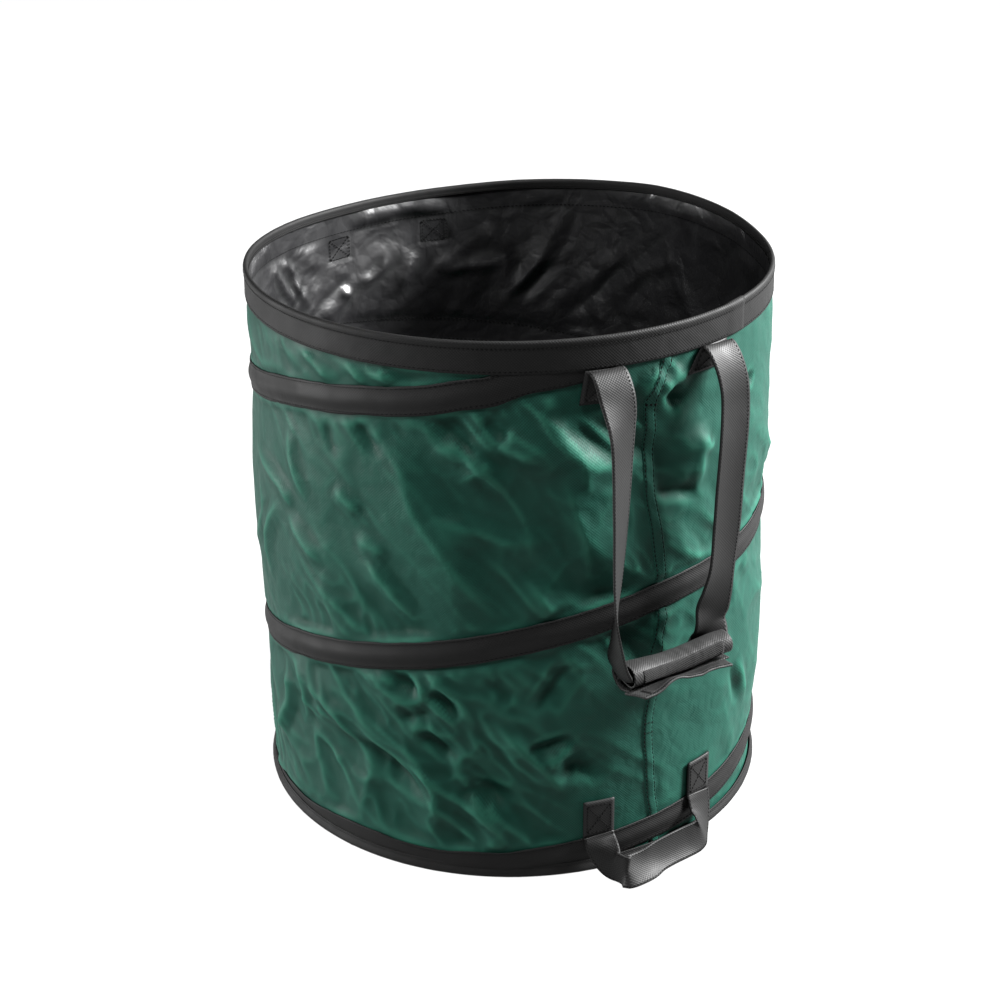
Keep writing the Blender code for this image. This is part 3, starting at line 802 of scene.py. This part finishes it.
def measureWall():
    oxford, lining = [], []
    for column in range(wall["columns"]):
        s = girth * column / wall["columns"]
        turn = bag["seamTurn"] + 360 * column / wall["columns"]
        near = [fold for fold in folds if fold["left"] < besideStart(s, fold["start"]) < fold["right"]]
        both = []
        for row in range(wall["rows"] + 1):
            height = wall["low"] + (wall["high"] - wall["low"]) * row / wall["rows"]
            both.append(wallRow(turn, height, near, s))
        oxford.append([out for out, _ in both])
        lining.append([inner for _, inner in both])
    return oxford, lining


def layWall():
    tall = wall["high"] - wall["low"]
    skin = None
    for name, radii, finish, turned in zip(
        ("wall_cloth", "wall_lining"), measureWall(), ("coated_oxford", "pvc_lining"), (1, -1),
    ):
        def place(u, v):
            turn = bag["seamTurn"] + 360 * u
            up = wall["low"] + tall * v
            radius = radii[round(u * wall["columns"]) % wall["columns"]][round(v * wall["rows"])]
            return around(turn, radius, up + rimLift(turn, up))

        shape = layCloth(wall["columns"], wall["rows"], place, (girth, tall), ring=True)
        skin = skin or BVHTree.FromBMesh(shape)
        # per vertex, how far the cloth stands above or below its neighbours; the material paints crests pale, partly as
        # rubbed wear and partly as painted highlight, and darkens hollows as painted shade
        crease = shape.verts.layers.float.new("crease")
        for vert in shape.verts:
            turn = turnOf(vert.co)
            column = round((turn - bag["seamTurn"]) / 360 * wall["columns"])
            row = round((vert.co.z - rimLift(turn, vert.co.z) - wall["low"]) / tall * wall["rows"])
            row = clamp(row, 0, wall["rows"])
            nearby = [(-2, 0), (2, 0), (0, -2), (0, 2)]
            ring = [radii[(column + x) % wall["columns"]][clamp(row + y, 0, wall["rows"])] for x, y in nearby]
            bump = radii[column % wall["columns"]][row] - sum(ring) / 4
            vert[crease] = clamp(bump / wall["rubbedAndHighlit"], -1, 1)
        made = finishPiece(
            name, shape, [cloth[finish]], "base",
            replaced=["wall"] if turned > 0 else (), squash=wallSquash, turned=turned,
        )
    return skin


skin = layWall()
print("wall laid")


def onWall(turn, height, out):
    # a point off the oxford, out from it
    start = around(turn, 0.3, height)
    hit = skin.ray_cast(start, -wayOut(start))[0]
    return hit + wayOut(hit) * out


# the felled seam: pixels of its left edge down the front, and its section: share of the width, mm off the wall
seam = {
    "pixels": [
        (661, 363), (650, 388), (646, 404), (646, 432), (643.5, 487), (649, 530), (653, 560), (654, 588), (655.5, 610),
        (654, 623), (651, 641), (649, 658), (647, 697), (643.5, 718), (642.5, 733), (643.5, 760), (644.5, 782),
        (646, 800), (648, 812), (650, 850),
    ],
    "width": 10.5 * mm,
    "ends": (470 * mm, 9 * mm),
    "middle": 648,  # the photo column of its middle, where the cross stitches are placed
    "section": [
        (0, -0.2), (0.06, 0.55), (0.13, 0.25), (0.22, 0.85), (0.5, 1.05), (0.78, 0.85), (0.87, 0.25), (0.94, 0.55),
        (1, -0.2),
    ],
    "tacks": [(406, 1), (727, 10)],  # photo line and how many lines tall the cross stitches are
    "steps": 200,
}


def laySeam():
    spots = [wallSpot(pixel) for pixel in seam["pixels"]]
    knots = [(-height, turn) for turn, height in spots]
    high, low = seam["ends"]
    widthTurn = math.degrees(seam["width"] / bag["radius"])

    def spot(u, v, out):
        height = high + (low - high) * u
        return onWall(smoothThrough(knots, -height) + widthTurn * v, height, out)

    def place(u, v):
        return spot(u, v, (0.3 + smoothThrough(seam["section"], v)) * mm)

    shape = layCloth(seam["steps"], 20, place, (high - low, seam["width"]))
    finishPiece("wall_seam", shape, [cloth["coated_oxford"]], "base", squash=wallSquash, turned=1)
    threads = bmesh.new()
    for share in (0.13, 0.87):
        points = [spot(step / seam["steps"], share, 0.85 * mm) for step in range(seam["steps"] + 1)]
        sewLine(threads, points, "seam")
    for line, tall in seam["tacks"]:
        for row in (line - tall / 2, line + tall / 2):
            u = (wallSpot((seam["middle"], row))[1] - high) / (low - high)
            points = [spot(u, share, 1.5 * mm) for share in (0.0, 0.5, 1.0)]
            sewLine(threads, points, "tack")
    finishThread("seam_thread", threads, "base", squash=wallSquash)


laySeam()
print("seam sewn")


def coilSpot(place, across, out):  # place: degrees along the route, across: metres up the tape
    height = smoothThrough(coilKnots, place)
    slope = (smoothThrough(coilKnots, place + 0.5) - smoothThrough(coilKnots, place - 0.5)) / math.radians(1)
    along = Vector((bag["radius"], slope)).normalized()
    turn = -place + math.degrees(across * along.y / bag["radius"])
    up = max(height + across * along.x, coil["lowest"] + (across + coil["width"] / 2) * 0.02)
    return around(turn, bag["radius"] + out, up + rimLift(turn, up))


def threadRing(shape, ring, path):
    # a tube: the ring is stood at the path's start, then extruded on to each next point
    edges = list({edge for vert in ring for edge in vert.link_edges})
    flat = [vert.co.copy() for vert in ring]
    for k, point in enumerate(path):
        ahead = (path[min(k + 1, len(path) - 1)] - path[max(k - 1, 0)]).normalized()
        out = wayOut(point)
        aside = ahead.cross(out).normalized()
        out = aside.cross(ahead)
        if k:
            grown = bmesh.ops.extrude_edge_only(shape, edges=edges)["geom"]
            ring = [item for item in grown if isinstance(item, bmesh.types.BMVert)]
            edges = [item for item in grown if isinstance(item, bmesh.types.BMEdge)]
            order = {}
            for vert in ring:
                order[vert] = min(range(len(flat)), key=lambda i: (last[i] - vert.co).length)
        else:
            order = {vert: i for i, vert in enumerate(ring)}
        last = [point + out * co.x + aside * co.y for co in flat]
        for vert in ring:
            vert.co = last[order[vert]]
        if k == 0 or k == len(path) - 1:
            bmesh.ops.contextual_create(shape, geom=edges)
    bmesh.ops.recalc_face_normals(shape, faces=shape.faces)


def layCoil():
    def archedOut(degree, across):
        # at both ends the tape lies flat, tucked in under the rim's tape or the base's
        free = fade(degree - firstTurn, coil["archRises"]) * fade(lastTurn - degree, coil["archEnds"])
        reach = abs(across) / coil["archHalf"]
        arch = coil["arch"] * (math.cos(clamp(reach) * math.pi) + 1) / 2
        flat = coil["tucked"] + (coil["flat"] - coil["tucked"]) * fade(degree - firstTurn, coil["untucks"])
        return flat + arch * free

    def place(u, v):
        degree = firstTurn + (lastTurn - firstTurn) * u
        across = (v - 0.5) * coil["width"]
        edge = abs(v - 0.5) * 2
        wave = noise.noise(Vector((degree * 0.55, v * 1.5, 0))) * 0.6
        wave += noise.noise(Vector((degree * 1.7, v * 2, 3))) * 0.4
        wander = noise.noise(Vector((degree * 0.12, 9, 0))) * 1.2 * mm
        out = archedOut(degree, across) + 0.25 * mm + abs(wave) * edge * 0.5 * mm
        return coilSpot(degree, across + wander + wave * edge * 0.8 * mm, out)

    length = math.radians(lastTurn - firstTurn) * bag["radius"]
    shape = layCloth(*coil["steps"], place, (length, coil["width"]))
    finishPiece(
        "coil_tape", shape, [cloth["binding_tape"]], "base", thick=0.7 * mm,
        replaced=["coil_casing"], squash=wallSquash, turned=1,
    )
    threads = bmesh.new()
    for side in (-1, 1):
        for out in (1.55 * mm, -bag["cloth"] - 1.1 * mm):
            points = []
            for step in range(coil["steps"][0] + 1):
                degree = firstTurn + 8 + (lastTurn - firstTurn - 80) * step / coil["steps"][0]
                points.append(coilSpot(degree, side * (coil["width"] / 2 - 2.0 * mm), out))
            sewLine(threads, points, "coil")
    finishThread("coil_thread", threads, "base", squash=wallSquash)

    wire = bmesh.new()
    ring = bmesh.ops.create_circle(wire, segments=8, radius=coil["wireRadius"])["verts"]
    (start, stop), steps = coil["wireEnds"], coil["wireSteps"]
    threadRing(wire, ring, [coilSpot(start + (stop - start) * k / steps, 0, 1.15 * mm) for k in range(steps + 1)])
    finishPiece(
        "coil_wire", wire, [springSteel], "base", replaced=["coil_spring_wire"], squash=wallSquash,
    )


layCoil()
print("coil laid")


# Binding tapes: (outwards from the wall's middle, height) in mm from the inner edge over the fold to the outer
# edge. Both are one length of tape whose ends lap over each other
rimTape = {
    "level": bag["height"] - 3.1 * mm,
    "profile": [
        (-1.9, -6.0), (-1.8, -4.2), (-1.6, -2.6), (-1.9, -0.8), (-1.9, 0.8), (-1.2, 2.3), (0, 2.85), (1.2, 2.3),
        (1.9, 0.8), (1.95, -0.8), (1.6, -2.6), (1.45, -4.6), (1.5, -9), (1.5, -16), (1.55, -23.9),
    ],
    "joint": -37,
    "wave": 0.75,
    # rows of stitches: out from the wall's middle and above the hoop, in mm
    "sewn": [(2.3, -3.0, "tape"), (-2.4, -3.6, "tape"), (2.1, -21.8, "hem"), (-1.6, -22.4, "hem")],
}
baseTape = {
    "level": 3.1 * mm,
    "profile": [
        (-1.6, 5.9), (-1.7, 4.0), (-2.6, 1.3), (-2.5, -1.2), (-1.4, -2.4), (0.4, -2.8), (2.6, -2.75), (4.1, -1.7),
        (4.4, 0.2), (3.4, 2.8), (2.2, 5.0), (1.75, 7.4),
    ],
    "joint": 100,
    "wave": 0.5,
    "sewn": [(2.5, 5.0, "hem")],
}
lap = {"turn": 2.6, "lift": 0.8, "steps": 420}
hoopRadius = 1.25 * mm


def layBinding(name, tape, body, replaced):
    knots = [(0.0, Vector(tape["profile"][0]))]
    for a, b in zip(tape["profile"], tape["profile"][1:]):
        knots.append((knots[-1][0] + (Vector(b) - Vector(a)).length, Vector(b)))
    width = knots[-1][0]

    def place(u, v):
        turn = tape["joint"] + (360 + lap["turn"]) * u
        out, up = smoothThrough(knots, width * v)
        # the last stretch climbs over the first
        over = 1 + lap["lift"] / 2 * ease((u - 0.982) / 0.008)
        out, up = out * over, up * (1 + (over - 1) * 0.6 if up > 0 else 1)
        height = tape["level"] + up * mm
        wave = noise.noise(Vector((turn * 0.4, v * 2, 5))) * 0.55 + noise.noise(Vector((turn * 1.3, v * 3, 8))) * 0.45
        wave *= tape["wave"] * (0.25 + 0.75 * ease(abs(v - 0.35) * 2.4))
        radius = bag["radius"] + (out + abs(wave) * (1 if out > 0 else -1) * 0.8) * mm
        return around(turn, radius, height + rimLift(turn, height) + wave * 0.6 * mm)

    shape = layCloth(lap["steps"], 26, place, (girth, width * mm))
    finishPiece(name, shape, [cloth["binding_tape"]], body, thick=0.65 * mm, replaced=[replaced])


def layHoop(name, level, body, replaced):
    shape = bmesh.new()
    ring = bmesh.ops.create_circle(shape, segments=8, radius=hoopRadius)["verts"]
    bmesh.ops.rotate(shape, cent=(0, 0, 0), matrix=Matrix.Rotation(math.pi / 2, 3, "X"), verts=ring)
    bmesh.ops.translate(shape, vec=(bag["radius"], 0, level), verts=ring)
    bmesh.ops.spin(
        shape, geom=shape.verts[:] + shape.edges[:], cent=(0, 0, 0), axis=(0, 0, 1), angle=2 * math.pi,
        steps=180, use_merge=True,
    )
    bmesh.ops.recalc_face_normals(shape, faces=shape.faces)
    for vert in shape.verts:
        vert.co.z += rimLift(turnOf(vert.co), level)
    finishPiece(name, shape, [springSteel], body, replaced=[replaced])


ferrule = {"radius": 1.75 * mm, "half": 12 * mm, "rimTurn": 125.4, "baseTurn": 298.2}


def layFerrule(name, middleTurn, level, body, replaced):
    shape = bmesh.new()
    ring = bmesh.ops.create_circle(shape, segments=12, radius=ferrule["radius"])["verts"]
    half = math.degrees(ferrule["half"] / bag["radius"])
    path = []
    for k in range(13):
        turn = middleTurn + half * (k / 6 - 1)
        path.append(around(turn, bag["radius"], level + rimLift(turn, level)))
    threadRing(shape, ring, path)
    finishPiece(name, shape, [crimpedSteel], body, replaced=[replaced])


layBinding("rim_tape", rimTape, "rim", "rim_binding")
layBinding("base_tape", baseTape, "base", "base_binding")
layHoop("rim_wire", rimTape["level"], "rim", "rim_ring_wire")
layHoop("base_wire", baseTape["level"], "base", "base_ring_wire")
layFerrule("rim_ferrule", ferrule["rimTurn"], rimTape["level"], "rim", "rim_ring_ferrule")
layFerrule("base_ferrule", ferrule["baseTurn"], baseTape["level"], "base", "base_ring_ferrule")


def sewBinding(name, body, tape):
    threads = bmesh.new()
    for out, up, kind in tape["sewn"]:
        radius, height = bag["radius"] + out * mm, tape["level"] + up * mm
        sewLine(threads, [around(k, radius, height + rimLift(k, height)) for k in range(361)], kind)
    finishThread(name, threads, body)


sewBinding("rim_thread", "rim", rimTape)
sewBinding("base_thread", "base", baseTape)
print("rim and base bound")

floorPanel = {"radius": 224.2 * mm, "rings": 40, "wave": 1.4, "centre": 4 * mm}


def layFloor():
    shape = bmesh.new()
    bmesh.ops.create_cone(
        shape, cap_ends=False, segments=160, radius1=floorPanel["radius"], radius2=floorPanel["centre"], depth=1 * mm,
    )
    bmesh.ops.subdivide_edges(
        shape, edges=[edge for edge in shape.edges if len(edge.link_faces) == 2], cuts=floorPanel["rings"],
    )
    middle = floorPanel["centre"] * 1.5
    bmesh.ops.contextual_create(
        shape, geom=[edge for edge in shape.edges if edge.is_boundary and edge.verts[0].co.length < middle],
    )
    layer = shape.loops.layers.uv.new("cut")
    for face in shape.faces:
        for loop in face.loops:
            loop[layer].uv = loop.vert.co.xy
    for vert in shape.verts:
        reach = vert.co.xy.length / floorPanel["radius"]
        wave = noise.noise(vert.co * 14) + 0.5 * noise.noise(vert.co * 34 + Vector((0, 0, 4)))
        rise = 3.6 * ease((reach - 0.94) / 0.06)
        vert.co.z = (1.2 + floorPanel["wave"] * (0.5 + wave) * ease((1 - reach) * 9) * 0.6 + rise * 0.6) * mm
    bmesh.ops.recalc_face_normals(shape, faces=shape.faces)
    made = finishPiece(
        "floor_cloth", shape, [cloth["pvc_lining"], cloth["coated_oxford"]], "base", thick=1.0 * mm,
        replaced=["floor_panel"],
    )


layFloor()
print("floor laid")


def ribbonPlace(stations, width):
    # stations: (way along, middle, width direction, curl in radians); a curled strap's section is an arc
    middles = [(s, middle) for s, middle, _, _ in stations]
    sides = [(s, side) for s, _, side, _ in stations]
    curls = [(s, curl) for s, _, _, curl in stations]
    length = stations[-1][0]

    def place(u, v, lift=0.0):
        s = u * length
        step = length / 600
        middle = smoothThrough(middles, s)
        ahead = smoothThrough(middles, min(s + step, length)) - smoothThrough(middles, max(s - step, 0))
        side = smoothThrough(sides, s).normalized()
        side = (side - ahead * (side.dot(ahead) / ahead.length_squared)).normalized()
        out = ahead.cross(side).normalized()
        curl = smoothThrough(curls, s)
        reach = (v - 0.5) * width
        if abs(curl) < 0.02:
            return middle + side * reach + out * lift
        radius = width / curl
        angle = reach / radius
        return (
            middle + side * (radius - lift) * math.sin(angle) + out * (radius - (radius - lift) * math.cos(angle))
        )

    return place, length


def measured(stations):
    way, found = 0.0, []
    for k, (middle, side, curl) in enumerate(stations):
        if k:
            way += (Vector(middle) - Vector(stations[k - 1][0])).length
        found.append((way * mm, Vector(middle) * mm, Vector(side).normalized(), curl))
    return found


def layStrap(name, stations, width, steps, body, replaced, squash, thick=1.5):
    # webbing with a line of stitches near both edges, on both faces
    place, length = ribbonPlace(measured(stations), width)
    shape = layCloth(steps, 12, place, (length, width))
    finishPiece(
        name, shape, [cloth["webbing"]], body, thick=thick * mm, replaced=replaced, squash=squash,
    )
    threads = bmesh.new()
    for v in (0.055, 0.945):
        for lift in (-(thick / 2 + 0.1) * mm, (thick / 2 + 0.1) * mm):
            points = [place(k / steps, v, lift) for k in range(steps + 1)]
            outs = [(point - place(k / steps, v)).normalized() for k, point in enumerate(points)]
            sewLine(threads, points, "strap", outs)
    finishThread(f"{name}_thread", threads, body, squash)


def twisted(degrees, side, facing):
    # the width direction of a leg turned about the upright, its outer edge coming forward
    angle = -math.radians(degrees)
    return (math.cos(angle), -facing * side * math.sin(angle), 0)


# Front handle, mm. Each leg from its sewn end down: x, y, z of the strap's middle, twist in degrees. Then the way
# through the grip: middle, width direction, curl
frontHandle = {
    "width": 32 * mm,
    "left": [
        (-53.7, -225.6, 466.4, -5), (-53.8, -230.5, 464.6, -5), (-53.9, -236.5, 458.0, -5), (-54.0, -242.0, 448.0, -4),
        (-54.1, -246.5, 437.0, 6), (-54.3, -249.5, 425.0, 17), (-54.8, -251.5, 408.0, 24), (-56.2, -252.7, 347.0, 34),
        (-57.6, -252.7, 300.0, 42), (-58.4, -252.7, 270.0, 51), (-58.2, -252.7, 250.0, 64), (-57.4, -252.7, 234.0, 74),
        (-57.0, -252.7, 222.0, 84),
    ],
    "grip": [
        ((-56.4, -252.6, 214.0), (0.03, 1, 0.0), 0.5), ((-54.0, -252.4, 206.5), (0.05, 1, 0.0), 1.1),
        ((-48.0, -252.0, 201.0), (0, 1, 0), 2.0), ((-37.0, -251.8, 198.2), (0, 1, 0), 3.2),
        ((-16.0, -252.0, 197.4), (0, 1, 0), 4.6), ((10.0, -252.0, 197.8), (0, 1, 0), 4.6),
        ((28.0, -250.5, 200.5), (0, 1, 0), 3.4), ((38.5, -248.0, 206.5), (-0.4, 0.9, 0.15), 1.8),
        ((42.0, -246.0, 215.0), (-0.9, 0.35, 0.05), 0.8),
    ],
    "right": [
        (54.4, -225.6, 466.4, -8), (54.8, -230.0, 464.8, -8), (56.2, -235.5, 458.0, -8), (58.0, -240.5, 447.0, -8),
        (59.0, -243.5, 434.0, -8), (59.3, -245.0, 420.0, -8), (57.6, -247.5, 404.0, -8), (55.4, -249.5, 386.0, -8),
        (53.0, -250.0, 350.0, -8), (51.6, -250.0, 315.0, -8), (49.4, -249.0, 279.0, -11), (46.6, -247.5, 256.0, 0),
        (44.0, -246.5, 240.0, 8), (42.4, -246.0, 227.0, -3),
    ],
}


def layFrontHandle():
    stations = [((x, y, z), twisted(twist, -1, -1), 0.0) for x, y, z, twist in frontHandle["left"]]
    stations += frontHandle["grip"]
    for x, y, z, twist in reversed(frontHandle["right"]):
        side = twisted(twist, 1, -1)
        stations.append(((x, y, z), tuple(-part for part in side), 0.35 if 250 < z < 440 else 0.15))
    layStrap(
        "front_strap", stations, frontHandle["width"], 320, "front_handle", ["front_handle_strap"], frontSquash,
    )


layFrontHandle()

# The grip's sleeve in three sections, (outward, up) in mm from the strap's line inside it: open at its left end,
# pressed flatter in the middle, rolled at its right end. Its flap starts at the sleeve's tail
grip = {
    "strap": (-252.7, 203.9),
    "ends": (-51, 52),
    "sections": [
        [(-8.7, -3.4), (-3.1, -1.8), (3.9, -3.2), (10, -3.5), (15.0, 0), (16.2, 5), (14, 11), (8, 13.5), (-2, 12),
         (-11, 8), (-15.5, 1.6), (-14.6, -4), (-10, -9), (-3.1, -11.4), (8.2, -8.7)],
        [(-6, -1), (0, -2.5), (6, -4), (10.5, -3.5), (12, 0), (12, 4), (9.5, 7.5), (3, 8.6), (-5, 7.8), (-11, 4.5),
         (-13, -1), (-11, -6), (-6, -9), (0, -10), (9, -8.5)],
        [(-6, 0), (-1, -1), (4, -2), (9, -1), (12, 3), (12.4, 8), (9.5, 12), (3, 14), (-4, 13), (-9.5, 9),
         (-12, 3), (-10.5, -3), (-6, -7), (0, -8.5), (9, -7.5)],
    ],
    "steps": (96, 60),
    # the flap: depth in mm, where its root and its free edge start and stop, and its slope by share of its length
    "flap": 23.0,
    "root": (-56, 47),
    "edge": (-51, 38),
    "rootUp": -8.0,
    "rootOut": 9.4,
    "slopes": [(0.0, -14), (0.18, -18), (0.38, -32), (0.62, -22), (0.8, -26), (1.0, -20)],
    "flapSteps": (96, 18),
    "tape": (0.09, 0.91, 13.0),
}


def layGrip():
    gy, gz = grip["strap"]
    left, right = grip["ends"]
    lengths = [0.0]
    for a, b in zip(grip["sections"][1], grip["sections"][1][1:]):
        lengths.append(lengths[-1] + (Vector(b) - Vector(a)).length)
    width = lengths[-1]

    def sleevePlace(u, v, lift=0.0):
        kind = ease(u / 0.45) if u < 0.45 else 1 + ease((u - 0.45) / 0.55)
        k = min(int(kind), 1)
        share = kind - k
        knots = []
        for reach, a, b in zip(lengths, grip["sections"][k], grip["sections"][k + 1]):
            knots.append((reach, Vector(a).lerp(Vector(b), share)))
        out, up = smoothThrough(knots, width * v)
        if lift:
            ahead = smoothThrough(knots, min(width * v + 0.3, width)) - smoothThrough(knots, max(width * v - 0.3, 0))
            out, up = out + ahead.y / ahead.length * lift, up - ahead.x / ahead.length * lift
        x = left + (right - left) * u
        ripple = 0.5 * noise.noise(Vector((x * 0.07, v * 4, 1))) + 0.25 * noise.noise(Vector((x * 0.2, v * 7, 5)))
        return Vector((x, gy - out - ripple * 0.6, gz + up + ripple)) * mm

    shape = layCloth(*grip["steps"], sleevePlace, ((right - left) * mm, width * mm))
    made = finishPiece(
        "grip_cloth", shape, [cloth["grip_oxford"]], "front_handle", thick=1.4 * mm,
        replaced=["grip_sleeve"], squash=frontSquash,
    )

    def flapPlace(u, v, lift=0.0):
        slope = math.radians(smoothThrough(grip["slopes"], u))
        reach = grip["flap"] * v
        curl = (1.4 * noise.noise(Vector((u * 4.5, v * 1.4, 7))) + 0.6 * noise.noise(Vector((u * 13, v * 3, 2)))) * v
        x = [grip[line][0] + (grip[line][1] - grip[line][0]) * u for line in ("root", "edge")]
        out = grip["rootOut"] + reach * math.cos(slope) + lift * math.sin(slope)
        up = grip["rootUp"] - reach * math.sin(slope) + curl + lift * math.cos(slope)
        return Vector((x[0] + (x[1] - x[0]) * v, gy - out, gz + up)) * mm

    shape = layCloth(*grip["flapSteps"], flapPlace, ((right - left) * mm, grip["flap"] * mm))
    made = finishPiece(
        "grip_flap_cloth", shape, [cloth["grip_oxford"]], "grip_flap", thick=1.8 * mm,
        replaced=["grip_flap"], squash=frontSquash,
    )

    # sewing along the flap's free edge
    threads = bmesh.new()
    points = [flapPlace(k / 90, 0.93, 1.1) for k in range(1, 90)]
    sewLine(threads, points, "tape", [Vector((0, -0.4, 0.9))] * len(points))
    finishThread("flap_thread", threads, "grip_flap", frontSquash)
    # hook tape on the flap's upper face, loop tape under the sleeve's front lip, where the closed flap meets it
    start, stop, deep = grip["tape"]
    size = ((stop - start) * (right - left) * mm, deep * mm)
    shape = layCloth(60, 6, lambda u, v: flapPlace(start + (stop - start) * u, 0.38 + 0.5 * v, 1.35), size)
    finishPiece("hook_strip", shape, [cloth["hook_nylon"]], "grip_flap", thick=0.7 * mm,
                replaced=["hook_tape"], squash=frontSquash)
    shape = layCloth(60, 6, lambda u, v: sleevePlace(start + (stop - start) * u, 0.2 + 0.15 * v, 0.75), size)
    finishPiece("loop_strip", shape, [cloth["loop_nylon"]], "front_handle", thick=0.4 * mm,
                replaced=["loop_tape"], squash=frontSquash)


layGrip()
print("front handle hung")

backHandle = {
    "legs": [
        (53.7, 225.2, 465.9, -13), (53.7, 226.3, 458.0, -12), (53.7, 232.9, 444.9, -4.5), (53.7, 240.6, 426.6, 4.5),
        (53.7, 247.8, 400.4, 16), (53.7, 251.3, 366.3, 31), (53.7, 252.7, 329.7, 47), (53.7, 252.7, 293.0, 65),
        (53.7, 252.7, 256.3, 81),
    ],
    "bottom": [(-53.7, 230), (-46.7, 211), (-29.7, 204), (0, 203.6), (29.7, 204), (46.7, 211), (53.7, 230)],
    "out": 252.7,
}


def layBackHandle():
    legs = backHandle["legs"]
    stations = [((-x, y, z), twisted(twist, -1, 1), 0.0) for x, y, z, twist in legs]
    stations += [((x, backHandle["out"], z), (0, -1, 0), 0.0) for x, z in backHandle["bottom"]]
    for x, y, z, twist in reversed(legs):
        stations.append(((x, y, z), tuple(-part for part in twisted(twist, 1, 1)), 0.0))
    layStrap(
        "back_strap", stations, frontHandle["width"], 260, "back_handle", ["back_handle_strap"], frontSquash,
    )


layBackHandle()

# Base handle, mm: middle, width direction and curl. Each end leaves its tab, turns on edge and runs along the ground
baseHandle = {
    "width": 28 * mm,
    "stations": [
        ((-53.4, -224.4, 35.4), (27.8, -6.6, 0), 0), ((-53.4, -226.2, 31.5), (27.5, -6.6, 1), 0),
        ((-53.8, -231.5, 25.5), (21.5, -12, 10), 0), ((-52.7, -240.5, 15.5), (12.6, -17, 20), 0),
        ((-49.0, -250.0, 13.2), (4, -3, 26), 0), ((-46.4, -256.0, 12.6), (0.4, 9, 25), 0.1),
        ((-44.6, -257.4, 12.2), (0, 15, 23), 0.2), ((-34.0, -256.6, 11.2), (0, 18, 21.5), 0.6),
        ((-22.4, -254.9, 10.9), (0, 17.5, 22), 0.9), ((-9.2, -250.9, 11.6), (0, 13, 23.7), 0.9),
        ((5.0, -248.7, 11.9), (0, 11.7, 24), 0.9), ((22.0, -247.3, 12.1), (0, 11.7, 24), 0.8),
        ((36.0, -246.8, 12.8), (-2, 8, 24), 0.4), ((43.0, -245.4, 13.6), (-6, 3, 24), 0.1),
        ((47.6, -240.0, 17.2), (-12, -1, 20), 0),
        ((51.0, -233.5, 23.5), (-17, 0, 18), 0), ((52.6, -228.8, 31.5), (-25, -4, 10), 0),
        ((53.2, -226.2, 37.5), (-27.5, -6.4, 3), 0), ((53.4, -224.4, 41.3), (-27.8, -6.6, 0), 0),
    ],
}
layStrap(
    "base_strap", baseHandle["stations"], baseHandle["width"], 180, "base_handle", ["base_handle_strap"], wallSquash,
)


# sewn ends with a stitched box and its cross
def laySewnEnd(name, node, handle, side, body, squash):
    middle, half, reach, *ends = sewnEnds[handle]
    low, high, leftLean, rightLean = ends[(side + 1) // 2]
    turn = middle + side * half
    out = bag["radius"] + (1.7 if handle != "base" else 2.6) * mm
    wide = math.degrees(reach / bag["radius"])

    def place(u, v, lift=0.0):
        up = (low + (high - low) * u) * mm
        lean = math.degrees((leftLean * (1 - v) + rightLean * v) * mm * (1 - u) / bag["radius"])
        return around(turn + wide * (2 * v - 1) + lean, out + lift, up + rimLift(turn, up))

    shape = layCloth(10, 10, place, ((high - low) * mm, 2 * reach))
    finishPiece(name, shape, [cloth["webbing"]], body, thick=1.4 * mm, replaced=[node],
                squash=squash, turned=1)
    threads = bmesh.new()
    box = [(0.12, 0.12), (0.12, 0.88), (0.88, 0.88), (0.88, 0.12), (0.12, 0.12), (0.88, 0.88)]
    for lift in (0.95 * mm, bag["radius"] - out - 1.7 * mm):
        for a, b in [*zip(box, box[1:]), ((0.12, 0.88), (0.88, 0.12))]:
            points = [place(a[0] + (b[0] - a[0]) * k / 6, a[1] + (b[1] - a[1]) * k / 6, lift) for k in range(7)]
            sewLine(threads, points, "box")
    finishThread(f"{name}_thread", threads, body, squash)


for handle, body, squash in (("front", "rim", None), ("back", "rim", None), ("base", "base", wallSquash)):
    for word, side in (("left", -1), ("right", 1)):
        laySewnEnd(f"{handle}_end_{word}", f"{handle}_handle_end_{word}", handle, side, body, squash)
print("straps sewn on")
